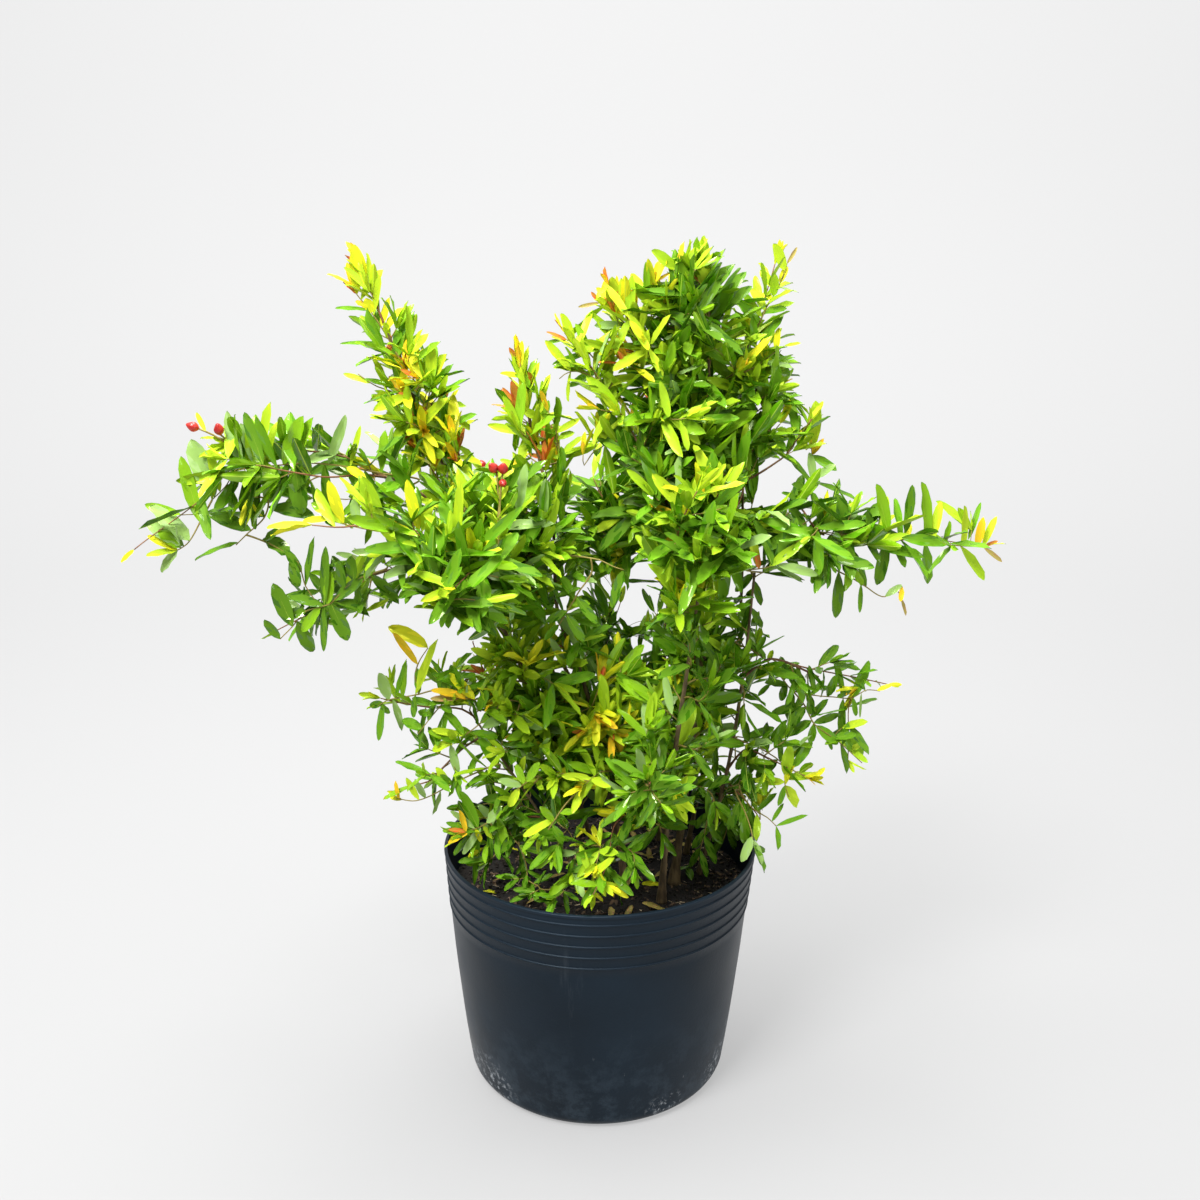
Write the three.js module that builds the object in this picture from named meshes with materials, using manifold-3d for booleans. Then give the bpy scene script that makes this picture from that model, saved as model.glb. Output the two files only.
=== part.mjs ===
// Young pomegranate shrub in a soft plastic nursery pot, life size.
// Millimetres, +Z up. The origin is the centre of the pot's flat underside,
// +X is the side of the long bare-tipped arm and +Y is the back of the plant.

import * as THREE from "three";
import { mergeVertices } from "three/addons/utils/BufferGeometryUtils.js";
import Module from "manifold-3d";

const wasm = await Module();
wasm.setup();

// ---- Driving dimensions ------------------------------------------------------

const GAP = 0.3; // clearance kept between two touching pieces
const MASS_GAP = 0.5; // clearance kept between two neighbouring leaf masses
const LEAF_TO_WALL = 4; // clearance of the leaf masses to the pot and the soil

const RIM_RADIUS = 150;
const FOOT_RADIUS = 124;
const POT_HEIGHT = 230;
const POT_WALL = 1.8;
const POT_FLOOR = 2.4;
const FOOT_ROUNDING = 12;
const LIP_THICKNESS = 3;
const LIP_HEIGHT = 3;
const RING_COUNT = 5;
const FIRST_RING_DROP = 10; // from the rim down to the first raised ring
const RING_PITCH = 10.9;
const RING_HEIGHT = 3;
const RING_STAND_OUT = 1.1;
const DRAIN_COUNT = 6;
const DRAIN_RADIUS = 7;
const DRAIN_CIRCLE = 86;
const DRAIN_SIDES = 6;
const POT_SEGMENTS = 24;

const SOIL_LEVEL = 190;
const GROUND = SOIL_LEVEL + GAP; // where every stem is cut flat

const FLARE_LENGTH = 16; // height of the root flare above the soil
const FLARE_GAIN = 0.55; // extra radius at the very foot
const FOOT_CROWDING = 1.25; // above 1 the rings of a stem stand closer at its foot
const LIMB_SIDES = 6;
const STEP_LENGTH = 62; // about one ring of vertices for this length of limb

const WIDE_MASS = 50; // a mass of this radius or more gets more sides
const MASS_SIDES = { slim: 7, wide: 9 };
const MASS_RINGS = 5;
const LUMP_SIZE = 0.17; // how far a mass swells and shrinks round its middle radius
const GOLDEN = 0.61803; // spreads the phases of the lumps over the masses
const MASS_FULLNESS = 0.62; // 1 gives an ellipsoid, less a blunter sausage
const STEEP = 0.7; // a run whose rise is more than this part of it counts as upright

// ---- Stems: feet on the soil, radii at foot and tip ---------------------------

const STEMS = [
  {
    name: "stem_main",
    foot: 6.2,
    tip: 1.6,
    path: [[72, -8, GROUND], [88, 8, 330], [103, 28, 466], [103, 26, 545], [97, 8, 640], [94, 2, 735]],
  },
  {
    name: "stem_front",
    foot: 4.8,
    tip: 2,
    path: [[58, -46, GROUND], [64, -50, 300], [76, -56, 410], [88, -70, 520]],
  },
  {
    name: "stem_left",
    foot: 4.8,
    tip: 1.5,
    path: [[24, -12, GROUND], [4, -4, 320], [-20, -2, 405], [-39, -10, 463], [-42, -4, 540], [-64, 16, 640]],
  },
  {
    name: "stem_left_low",
    foot: 4,
    tip: 1.8,
    path: [[0, 12, GROUND], [-30, 2, 300], [-63, -12, 392], [-88, -34, 455], [-118, -84, 530]],
  },
  {
    name: "stem_back_left",
    foot: 4.2,
    tip: 1.4,
    path: [[20, 44, GROUND], [-6, 62, 310], [-58, 64, 430], [-128, 52, 545], [-196, 61, 712]],
  },
  {
    name: "stem_back",
    foot: 3.6,
    tip: 1.4,
    path: [[62, 82, GROUND], [62, 78, 320], [66, 72, 440], [70, 84, 560], [80, 92, 660]],
  },
  {
    name: "stem_back_right",
    foot: 3.6,
    tip: 1.3,
    path: [[88, 52, GROUND], [112, 62, 320], [136, 56, 450], [132, 34, 580], [146, 26, 700]],
  },
  {
    name: "stem_right",
    foot: 3.6,
    tip: 1.8,
    path: [[98, 8, GROUND], [122, 4, 300], [134, 0, 400], [140, -10, 500]],
  },
  {
    name: "stem_low_left",
    foot: 3,
    tip: 1.4,
    path: [[-14, -22, GROUND], [-52, -28, 262], [-92, -34, 330], [-120, -26, 372]],
  },
];

// ---- Boughs: each leaves its parent limb and ends just inside a mass ----------

const BOUGHS = [
  { name: "bough_arm_left", parent: "stem_left_low", base: 2.4, tip: 1.8,
    path: [[-98, -50, 480], [-120, -52, 548], [-172, -58, 592], [-196, -66, 598]] },
  { name: "bough_arm_left_low", parent: "stem_left_low", base: 2.2, tip: 1.6,
    path: [[-84, -30, 447], [-122, -48, 496], [-178, -66, 516], [-206, -70, 508]] },
  { name: "bough_arm_left_mid", parent: "stem_left_low", base: 2.2, tip: 1.6,
    path: [[-112, -74, 516], [-140, -110, 552], [-184, -142, 571]] },
  { name: "bough_top_left", parent: "stem_main", base: 2.2, tip: 1.5,
    path: [[101, 18, 590], [74, 2, 632], [44, -10, 668]] },
  { name: "bough_top_far_left", parent: "stem_front", base: 2.2, tip: 1.5,
    path: [[84, -66, 500], [62, -44, 560], [28, -22, 628]] },
  { name: "bough_arm_right", parent: "stem_main", base: 3, tip: 2,
    path: [[103, 26, 530], [132, 4, 546], [168, -14, 544], [200, -18, 536]] },
  { name: "bough_spur_right", parent: "stem_main", base: 2, tip: 1.4,
    path: [[102, 22, 570], [132, 8, 580], [162, 4, 600]] },
  { name: "bough_low_right", parent: "stem_right", base: 2.2, tip: 1.5,
    path: [[132, 1, 392], [158, -2, 414], [188, -2, 404], [204, -2, 396]] },
  { name: "bough_low_right_foot", parent: "stem_right", base: 2, tip: 1.4,
    path: [[121, 4, 298], [138, -8, 326], [158, -22, 322]] },
  { name: "bough_low_left", parent: "stem_low_left", base: 1.9, tip: 1.3,
    path: [[-106, -31, 350], [-126, -40, 340], [-152, -52, 316]] },
  { name: "bough_back_left", parent: "stem_back_left", base: 2.4, tip: 1.6,
    path: [[-40, 64, 398], [-74, 104, 462], [-118, 148, 520]] },
  { name: "bough_back_right", parent: "stem_back", base: 2.4, tip: 1.6,
    path: [[66, 73, 450], [92, 116, 496], [126, 158, 540]] },
  { name: "bough_front", parent: "stem_front", base: 2.2, tip: 1.5,
    path: [[62, -49, 280], [50, -82, 318], [40, -112, 336]] },
];

// ---- Leaf masses: spine from the wood outwards, radii at both ends ------------

const MASSES = [
  { name: "leaves_crown_right", from: [84, 4, 486], to: [94, 2, 672], wide: [72, 66] },
  { name: "leaves_crown_left", from: [-40, -20, 466], to: [-118, -44, 596], wide: [54, 62] },
  { name: "leaves_body_right", from: [96, 26, 268], to: [98, 22, 478], wide: [46, 52] },
  { name: "leaves_body_left", from: [-22, -8, 264], to: [-74, -16, 462], wide: [58, 60] },
  { name: "leaves_body_mid", from: [38, -30, 258], to: [14, -24, 448], wide: [46, 44] },
  { name: "leaves_body_back", from: [34, 90, 244], to: [14, 106, 470], wide: [48, 62] },
  { name: "leaves_crown_back", from: [0, 50, 456], to: [26, 108, 616], wide: [62, 50] },
  { name: "leaves_crown_right_back", from: [96, 92, 486], to: [104, 98, 706], wide: [54, 44] },
  { name: "leaves_crown_right_front", from: [72, -62, 448], to: [96, -92, 606], wide: [48, 50] },
  { name: "leaves_rosette_left", from: [-82, -92, 486], to: [-140, -176, 560], wide: [54, 50] },
  { name: "leaves_front", from: [56, -74, 292], to: [34, -146, 374], wide: [38, 38] },
  { name: "leaves_top_main", from: [86, 4, 646], to: [84, 0, 792], wide: [58, 38] },
  { name: "leaves_top_left", from: [62, -8, 640], to: [4, -20, 762], wide: [38, 24] },
  { name: "leaves_top_far_left", from: [36, -20, 590], to: [-36, -30, 726], wide: [38, 18] },
  { name: "leaves_top_right", from: [128, 24, 630], to: [158, 30, 786], wide: [46, 20] },
  { name: "leaves_spire_mid", from: [-44, 4, 540], to: [-74, 24, 704], wide: [50, 12] },
  { name: "leaves_spire_left", from: [-128, 46, 552], to: [-194, 60, 708], wide: [58, 36] },
  { name: "leaves_spire_left_tip", from: [-188, 60, 690], to: [-228, 70, 786], wide: [32, 12] },
  { name: "leaves_arm_left", from: [-156, -58, 588], to: [-318, -114, 624], wide: [50, 48] },
  { name: "leaves_arm_left_tip", from: [-282, -110, 602], to: [-384, -134, 540], wide: [38, 26] },
  { name: "leaves_arm_left_mid", from: [-160, -128, 560], to: [-262, -166, 576], wide: [30, 24] },
  { name: "leaves_arm_left_low", from: [-170, -62, 526], to: [-290, -82, 460], wide: [34, 32] },
  { name: "leaves_arm_right", from: [134, -6, 546], to: [256, -24, 520], wide: [50, 56] },
  { name: "leaves_arm_right_tip", from: [228, -20, 534], to: [364, -10, 526], wide: [50, 28] },
  { name: "leaves_spur_right", from: [150, 4, 572], to: [196, 8, 648], wide: [36, 20] },
  { name: "leaves_low_right", from: [150, 0, 408], to: [284, 0, 386], wide: [34, 22] },
  { name: "leaves_low_right_tip", from: [196, -2, 376], to: [258, -2, 302], wide: [32, 18] },
  { name: "leaves_low_right_foot", from: [134, -16, 350], to: [206, -28, 300], wide: [34, 22] },
  { name: "leaves_low_left", from: [-88, -20, 388], to: [-212, -42, 392], wide: [54, 24] },
  { name: "leaves_low_left_foot", from: [-112, -40, 334], to: [-196, -62, 300], wide: [34, 14] },
  { name: "leaves_skirt_left", from: [-58, -30, 238], to: [-136, -52, 282], wide: [42, 30] },
  { name: "leaves_skirt_front", from: [26, -46, 272], to: [-10, -142, 238], wide: [44, 24] },
  { name: "leaves_skirt_right", from: [104, 34, 224], to: [138, 30, 290], wide: [38, 28] },
  { name: "leaves_rim_right", from: [140, -14, 312], to: [168, -30, 214], wide: [24, 14] },
  { name: "leaves_back_left", from: [-98, 132, 500], to: [-188, 214, 586], wide: [48, 34] },
  { name: "leaves_back_right", from: [112, 146, 524], to: [178, 244, 588], wide: [46, 32] },
];

const FINISHES = {
  pot: { color: 0x17191c, roughness: 0.45, metalness: 0 },
  soil: { color: 0x2c221b, roughness: 0.95, metalness: 0 },
  stem: { color: 0x6b5138, roughness: 0.8, metalness: 0 },
  bough: { color: 0x7a5a3c, roughness: 0.8, metalness: 0 },
  leaves: { color: 0x5d9a2b, roughness: 0.7, metalness: 0 },
};

// ---- Solids and geometries ----------------------------------------------------

function solidOf(geometry) {
  const bare = geometry.clone();
  bare.deleteAttribute("normal");
  bare.deleteAttribute("uv");
  const merged = mergeVertices(bare, 1e-4);
  const index = merged.index.array;
  const kept = [];
  for (let i = 0; i < index.length; i += 3) {
    const [a, b, c] = [index[i], index[i + 1], index[i + 2]];
    if (a !== b && b !== c && c !== a) kept.push(a, b, c);
  }
  const vertProperties = new Float32Array(merged.attributes.position.array);
  return new wasm.Manifold(new wasm.Mesh({ numProp: 3, vertProperties, triVerts: new Uint32Array(kept) }));
}

function geometryOf(solid) {
  const mesh = solid.getMesh();
  const geometry = new THREE.BufferGeometry();
  geometry.setAttribute("position", new THREE.BufferAttribute(new Float32Array(mesh.vertProperties), 3));
  geometry.setIndex(new THREE.BufferAttribute(new Uint32Array(mesh.triVerts), 1));
  geometry.computeVertexNormals();
  return geometry;
}

function boxesMeet(a, b) {
  const p = a.boundingBox();
  const q = b.boundingBox();
  return [0, 1, 2].every((k) => p.min[k] <= q.max[k] && q.min[k] <= p.max[k]);
}

function cutBy(solid, cutters) {
  let rest = solid;
  for (const cutter of cutters) {
    if (boxesMeet(rest, cutter)) rest = rest.subtract(cutter);
  }
  const parts = rest.decompose();
  return parts.reduce((best, part) => (part.volume() > best.volume() ? part : best));
}

// ---- Limbs ----------------------------------------------------------------------

function curveThrough(points) {
  return new THREE.CatmullRomCurve3(points.map((point) => new THREE.Vector3(...point)), false, "centripetal");
}

// A world axis that lies well across a direction.
function acrossAxis(direction) {
  return Math.abs(direction.z) > STEEP ? new THREE.Vector3(0, 1, 0) : new THREE.Vector3(0, 0, 1);
}

function sideAxis(curve) {
  const run = curve.getPoint(1).sub(curve.getPoint(0)).normalize();
  return acrossAxis(run);
}

// Tapering tube: a cylinder whose rings are carried along the curve.
function limbSolid({ path, base, tip, grow = 0, rooted = false }) {
  const curve = curveThrough(path);
  const length = curve.getLength();
  const steps = Math.max(3, Math.round(length / STEP_LENGTH));
  const tube = new THREE.CylinderGeometry(1, 1, 1, LIMB_SIDES, steps);
  const axis = sideAxis(curve);
  const spots = tube.attributes.position;
  for (let i = 0; i < spots.count; i += 1) {
    const level = Math.round((spots.getY(i) + 0.5) * steps) / steps;
    const along = rooted ? Math.pow(level, FOOT_CROWDING) : level;
    const tangent = curve.getTangentAt(along);
    const first = new THREE.Vector3().crossVectors(axis, tangent).normalize();
    const second = new THREE.Vector3().crossVectors(first, tangent);
    const flare = rooted ? FLARE_GAIN * Math.exp((-along * length) / FLARE_LENGTH) : 0;
    const radius = THREE.MathUtils.lerp(base, tip, along) * (1 + flare) + grow;
    const place = curve.getPointAt(along);
    place.addScaledVector(first, spots.getX(i) * radius);
    place.addScaledVector(second, spots.getZ(i) * radius);
    if (rooted && level === 0) place.z = path[0][2] - grow; // the flat cut at the soil
    spots.setXYZ(i, place.x, place.y, place.z);
  }
  return solidOf(tube);
}

// ---- Leaf masses ------------------------------------------------------------------

function lumpsOf(order) {
  const phase = (k) => 2 * Math.PI * (((order + 1) * k * GOLDEN) % 1);
  return (turn, along) =>
    0.55 * Math.sin(2 * turn + phase(1) + 3 * along) +
    0.35 * Math.sin(3 * turn + phase(2) - 5 * along) +
    0.3 * Math.sin(7 * along + phase(3));
}

// Uneven closed body round a spine: a sphere whose rings are carried along it.
function massSolid({ from, to, wide }, order, grow = 0) {
  const start = new THREE.Vector3(...from);
  const end = new THREE.Vector3(...to);
  const run = end.clone().sub(start);
  const tangent = run.clone().normalize();
  const first = new THREE.Vector3().crossVectors(acrossAxis(tangent), tangent).normalize();
  const second = new THREE.Vector3().crossVectors(tangent, first);
  const lumps = lumpsOf(order);
  const sides = Math.max(...wide) < WIDE_MASS ? MASS_SIDES.slim : MASS_SIDES.wide;
  const ball = new THREE.SphereGeometry(1, sides, MASS_RINGS);
  const spots = ball.attributes.position;
  for (let i = 0; i < spots.count; i += 1) {
    const [x, y, z] = [spots.getX(i), spots.getY(i), spots.getZ(i)];
    const along = (1 - y) / 2;
    const ring = Math.hypot(x, z) < 1e-6 ? 0 : Math.hypot(x, z); // 0 at both poles
    const turn = ring > 0 ? Math.atan2(z, x) : 0;
    const full = Math.pow(ring, MASS_FULLNESS);
    const swell = 1 + LUMP_SIZE * lumps(turn, along);
    const radius = THREE.MathUtils.lerp(wide[0], wide[1], along) * full * swell;
    const reach = radius + grow * ring;
    const place = start.clone().addScaledVector(run, along);
    place.addScaledVector(tangent, -grow * y);
    place.addScaledVector(first, Math.cos(turn) * reach);
    place.addScaledVector(second, Math.sin(turn) * reach);
    spots.setXYZ(i, place.x, place.y, place.z);
  }
  return solidOf(ball);
}

// ---- Pot and soil -------------------------------------------------------------------

function outerRadius(height) {
  return THREE.MathUtils.lerp(FOOT_RADIUS, RIM_RADIUS - LIP_THICKNESS + POT_WALL, height / POT_HEIGHT);
}

function turned(profile) {
  const points = profile.map(([radius, height]) => new THREE.Vector2(radius, height));
  return new THREE.LatheGeometry(points, POT_SEGMENTS).rotateX(Math.PI / 2);
}

function potProfile() {
  const outside = [[0, 0], [FOOT_RADIUS - FOOT_ROUNDING, 0]];
  for (const angle of [30, 60, 90]) {
    const turn = THREE.MathUtils.degToRad(angle);
    const radius = outerRadius(FOOT_ROUNDING) - FOOT_ROUNDING * (1 - Math.sin(turn));
    outside.push([radius, FOOT_ROUNDING * (1 - Math.cos(turn))]);
  }
  for (let ring = RING_COUNT - 1; ring >= 0; ring -= 1) {
    const height = POT_HEIGHT - FIRST_RING_DROP - ring * RING_PITCH;
    outside.push([outerRadius(height - RING_HEIGHT / 2), height - RING_HEIGHT / 2]);
    outside.push([outerRadius(height) + RING_STAND_OUT, height]);
    outside.push([outerRadius(height + RING_HEIGHT / 2), height + RING_HEIGHT / 2]);
  }
  const lipFoot = POT_HEIGHT - LIP_HEIGHT;
  const inside = [
    [RIM_RADIUS - LIP_THICKNESS, POT_HEIGHT],
    [outerRadius(lipFoot) - POT_WALL, lipFoot],
    [outerRadius(FOOT_ROUNDING) - POT_WALL, FOOT_ROUNDING],
    [FOOT_RADIUS - FOOT_ROUNDING, POT_FLOOR],
    [0, POT_FLOOR],
  ];
  const lip = [[outerRadius(lipFoot), lipFoot], [RIM_RADIUS, lipFoot], [RIM_RADIUS, POT_HEIGHT]];
  return [...outside, ...lip, ...inside];
}

function potSolid() {
  const drains = [];
  for (let k = 0; k < DRAIN_COUNT; k += 1) {
    const turn = (2 * Math.PI * (k + 0.5)) / DRAIN_COUNT;
    const drain = new THREE.CylinderGeometry(DRAIN_RADIUS, DRAIN_RADIUS, 4 * POT_FLOOR, DRAIN_SIDES);
    drain.rotateX(Math.PI / 2);
    drain.translate(DRAIN_CIRCLE * Math.cos(turn), DRAIN_CIRCLE * Math.sin(turn), 0);
    drains.push(solidOf(drain));
  }
  return cutBy(solidOf(turned(potProfile())), drains);
}

// What the leaf masses keep clear of: the pot's wall, rim and everything inside it
// below the room that is left above the soil.
function potKeepOut() {
  const wallRoom = POT_WALL + LEAF_TO_WALL;
  const body = solidOf(turned([
    [0, -LEAF_TO_WALL],
    [FOOT_RADIUS, -LEAF_TO_WALL],
    [RIM_RADIUS + LEAF_TO_WALL, POT_HEIGHT + GAP],
    [0, POT_HEIGHT + GAP],
  ]));
  const room = solidOf(turned([
    [0, SOIL_LEVEL + LEAF_TO_WALL],
    [outerRadius(SOIL_LEVEL) - wallRoom, SOIL_LEVEL + LEAF_TO_WALL],
    [outerRadius(POT_HEIGHT) - wallRoom, POT_HEIGHT + LEAF_TO_WALL],
    [0, POT_HEIGHT + LEAF_TO_WALL],
  ]));
  return body.subtract(room);
}

function soilSolid() {
  const room = POT_WALL + GAP;
  return solidOf(turned([
    [0, POT_FLOOR + GAP],
    [FOOT_RADIUS - FOOT_ROUNDING - room, POT_FLOOR + GAP],
    [outerRadius(FOOT_ROUNDING) - room, FOOT_ROUNDING + room],
    [outerRadius(SOIL_LEVEL) - room, SOIL_LEVEL],
    [0, SOIL_LEVEL],
  ]));
}

// ---- Assembly ------------------------------------------------------------------------

const plant = new THREE.Group();

function add(name, solid, finish) {
  const mesh = new THREE.Mesh(geometryOf(solid), new THREE.MeshStandardMaterial(FINISHES[finish]));
  mesh.name = name;
  plant.add(mesh);
}

add("pot", potSolid(), "pot");
add("soil", soilSolid(), "soil");

const limbCutters = [];

for (const { name, path, foot, tip } of STEMS) {
  add(name, limbSolid({ path, base: foot, tip, rooted: true }), "stem");
  limbCutters.push(limbSolid({ path, base: foot, tip, rooted: true, grow: GAP }));
}

const stemCutters = [...limbCutters];
for (const { name, path, base, tip } of BOUGHS) {
  add(name, cutBy(limbSolid({ path, base, tip }), stemCutters), "bough");
  limbCutters.push(limbSolid({ path, base, tip, grow: GAP }));
}

const potCutter = potKeepOut();
const massCutters = [];
MASSES.forEach((mass, order) => {
  const whole = massSolid(mass, order);
  add(mass.name, cutBy(whole, [potCutter, ...limbCutters, ...massCutters]), "leaves");
  massCutters.push(massSolid(mass, order, MASS_GAP));
});

export default plant;
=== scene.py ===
# %% [markdown]
# # A young pomegranate shrub in its nursery pot
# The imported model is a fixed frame: a pot, its soil, the limbs, and one closed lump for
# each mass of leaves. This notebook keeps every one of those places and grows the looks
# round them: bark on the limbs, shoots that leave the wood by one branching rule, pairs of
# leaves on the shoots, and the finish of the plastic and the soil.

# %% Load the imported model
import math
import random
from collections import namedtuple

import bmesh
import bpy
import numpy as np
from mathutils import Matrix, Vector, noise
from mathutils.bvhtree import BVHTree


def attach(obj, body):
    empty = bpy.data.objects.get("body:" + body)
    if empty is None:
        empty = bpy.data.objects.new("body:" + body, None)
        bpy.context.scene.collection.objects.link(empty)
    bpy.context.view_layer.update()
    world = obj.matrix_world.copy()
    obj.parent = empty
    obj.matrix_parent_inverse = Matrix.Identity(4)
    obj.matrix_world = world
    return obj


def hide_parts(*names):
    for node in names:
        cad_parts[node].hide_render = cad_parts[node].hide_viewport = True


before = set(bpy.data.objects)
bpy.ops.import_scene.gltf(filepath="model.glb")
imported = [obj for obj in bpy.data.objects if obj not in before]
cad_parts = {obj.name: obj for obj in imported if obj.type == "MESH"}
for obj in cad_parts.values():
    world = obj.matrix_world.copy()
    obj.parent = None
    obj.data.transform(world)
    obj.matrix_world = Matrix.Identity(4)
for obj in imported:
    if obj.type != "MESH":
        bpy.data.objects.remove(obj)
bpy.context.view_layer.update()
MM = 0.001
UP = Vector((0, 0, 1))
SEEDS = {"noise": 3, "litter": 11, "growth": 500, "spurs": 91, "shoots": 77, "sprays": 88,
         "stalks": 31, "leaf shapes": 4, "sky sheen leaves": 16, "fallen leaves": 52}
noise.seed_set(SEEDS["noise"])  # the noise module starts from the clock unless it is given a seed


def chance(name, more=0):
    """The seeded source of chance for one kind of thing."""
    return random.Random(SEEDS[name] + more)


print("frame nodes:", len(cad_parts))

# %% [markdown]
# ## Camera
# A plain perspective camera stands in front of the plant, a little above its crown, and
# looks slightly down into the pot. It is made first, so that windows in the crown can be
# named by where they show in this view.

# %% Camera
CAMERA_PLACE = Vector((0, -1.12, 0.785))
CAMERA_PITCH = math.radians(15.7)
CAMERA_LENS = 37.98
SENSOR_WIDTH = 36
VIEW_SIZE = 1200  # the picture is square
FOCAL = VIEW_SIZE * CAMERA_LENS / SENSOR_WIDTH  # the lens, in pixels of the picture
DOWN, AHEAD = math.sin(CAMERA_PITCH), math.cos(CAMERA_PITCH)

camera_data = bpy.data.cameras.new("camera")
camera_data.sensor_width = SENSOR_WIDTH
camera_data.lens = CAMERA_LENS
camera = bpy.data.objects.new("camera", camera_data)
camera.location = CAMERA_PLACE
camera.rotation_euler = (math.pi / 2 - CAMERA_PITCH, 0, 0)
bpy.context.scene.collection.objects.link(camera)
bpy.context.scene.camera = camera


def seen_at(place):
    """Where a point shows in the camera's picture, in its pixels."""
    x, y, z = place - CAMERA_PLACE
    depth = y * AHEAD - z * DOWN
    rise = y * DOWN + z * AHEAD
    return VIEW_SIZE / 2 + FOCAL * x / depth, VIEW_SIZE / 2 - FOCAL * rise / depth


print("pot axis shows at", [round(v) for v in seen_at(Vector((0, 0, 0)))])

# %% [markdown]
# ## Studio
# A grid bent into a sweep gives a floor that turns into a backdrop with no corner to see.
# One large soft lamp from the upper left models the leaves, a weaker one fills the right
# side, one from above puts a sheen on the leaves, and a pale world lights the rest.

# %% Sweep and lamps
SWEEP_WIDTH = 9
SWEEP_FRONT = -3.2
SWEEP_BACK = 1.9  # where the floor starts to turn up
SWEEP_TURN = 1.1  # radius of the turn
SWEEP_WALL = 3.6
PALE = (0.16, 0.16, 0.16, 1)
# The sweep glows by itself, more strongly towards the back wall: painted light on the floor and backdrop.
SWEEP_GLOW = (("From Min", 0), ("From Max", 3.0), ("To Min", 0.42), ("To Max", 0.645))
WORLD_COLOUR = (0.97, 0.985, 1, 1)
WORLD_STRENGTH = 0.42


def link(name, mesh):
    """Puts a mesh in the scene as an object at the origin."""
    made = bpy.data.objects.new(name, mesh)
    bpy.context.scene.collection.objects.link(made)
    return made


def mesh_of(shape, name, smooth=True):
    """Turns a finished bmesh into a mesh and frees it."""
    for face in shape.faces:
        face.smooth = smooth
    mesh = bpy.data.meshes.new(name)
    shape.to_mesh(mesh)
    shape.free()
    return mesh


def wire(tree, *joints):
    """Joins nodes: each joint is a node, its output, then the next node and its input."""
    for giver, out, taker, into in joints:
        tree.links.new(giver.outputs[out], taker.inputs[into])


def sweep_point(along):
    """Depth and height of the sweep this far from its front edge."""
    floor = SWEEP_BACK - SWEEP_FRONT
    turn = SWEEP_TURN * math.pi / 2
    if along < floor:
        return SWEEP_FRONT + along, 0
    if along < floor + turn:
        angle = (along - floor) / SWEEP_TURN
        return SWEEP_BACK + SWEEP_TURN * math.sin(angle), SWEEP_TURN * (1 - math.cos(angle))
    return SWEEP_BACK + SWEEP_TURN, SWEEP_TURN + along - floor - turn


sweep_length = SWEEP_BACK - SWEEP_FRONT + SWEEP_TURN * math.pi / 2 + SWEEP_WALL
sheet = bmesh.new()
bmesh.ops.create_grid(sheet, x_segments=2, y_segments=60, size=0.5)
for vert in sheet.verts:
    depth, height = sweep_point((vert.co.y + 0.5) * sweep_length)
    vert.co = (vert.co.x * SWEEP_WIDTH, depth, height)
sweep = link("studio_sweep", mesh_of(sheet, "studio_sweep"))
sweep_paint = bpy.data.materials.new("studio_sweep")
sweep_paint.use_nodes = True
sweep_nodes = sweep_paint.node_tree.nodes
sweep_shader = sweep_nodes["Principled BSDF"]
sweep_shader.inputs["Base Color"].default_value = PALE
sweep_shader.inputs["Roughness"].default_value = 0.9
sweep_shader.inputs["Emission Color"].default_value = (1, 1, 1, 1)
# The glow rises along y from the floor in front to the back wall: painted light.
sweep_height = sweep_nodes.new("ShaderNodeSeparateXYZ")
sweep_glow = sweep_nodes.new("ShaderNodeMapRange")
for label, value in SWEEP_GLOW:
    sweep_glow.inputs[label].default_value = value
wire(sweep_paint.node_tree,
     (sweep_nodes.new("ShaderNodeTexCoord"), "Object", sweep_height, "Vector"),
     (sweep_height, "Y", sweep_glow, "Value"),
     (sweep_glow, "Result", sweep_shader, "Emission Strength"))
sweep.data.materials.append(sweep_paint)

LAMP_AIM = Vector((0, 0, 0.45))
LAMPS = [
    # name, place, size, watts
    ("key", (-0.85, -1.3, 2.4), 0.9, 90),
    ("fill", (1.9, -1.3, 1.3), 1.5, 17),
    ("top", (-0.2, 0.1, 2.3), 1.2, 54),
    ("backdrop", (0, 1.2, 3.4), 4.0, 80),
]
BACKDROP_AIM = Vector((0, 3, 1.3))
for name, place, size, watts in LAMPS:
    lamp = bpy.data.lights.new(name, "AREA")
    lamp.size = size
    lamp.energy = watts
    holder = bpy.data.objects.new(name, lamp)
    holder.location = place
    aim = BACKDROP_AIM if name == "backdrop" else LAMP_AIM
    holder.rotation_euler = (aim - Vector(place)).to_track_quat("-Z", "Y").to_euler()
    bpy.context.scene.collection.objects.link(holder)

world = bpy.data.worlds.new("studio")
world.use_nodes = True
world.node_tree.nodes["Background"].inputs["Color"].default_value = WORLD_COLOUR
world.node_tree.nodes["Background"].inputs["Strength"].default_value = WORLD_STRENGTH
bpy.context.scene.world = world
bpy.context.scene.view_settings.view_transform = "Standard"
print("lamps:", len(LAMPS))

# %% [markdown]
# ## Effects that several finishes share
# Plastic, soil, bark and buds all need the same three things: a colour that drifts between
# two tones, a fine relief in the light, and a thin film that gathers in patches. Each is a
# node group with its own sockets, so every material can place it with other values.

# %% Shared shader groups
FILM_EDGE = 0.12  # how far above its threshold a film is at its full strength


def new_group(name, inputs, outputs):
    """A shader group with named sockets, and its two end nodes."""
    group = bpy.data.node_groups.new(name, "ShaderNodeTree")
    for label, kind, value in inputs:
        socket = group.interface.new_socket(label, in_out="INPUT", socket_type="NodeSocket" + kind)
        if value is not None:
            socket.default_value = value
    for label, kind in outputs:
        group.interface.new_socket(label, in_out="OUTPUT", socket_type="NodeSocket" + kind)
    return group, group.nodes.new("NodeGroupInput"), group.nodes.new("NodeGroupOutput")


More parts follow.
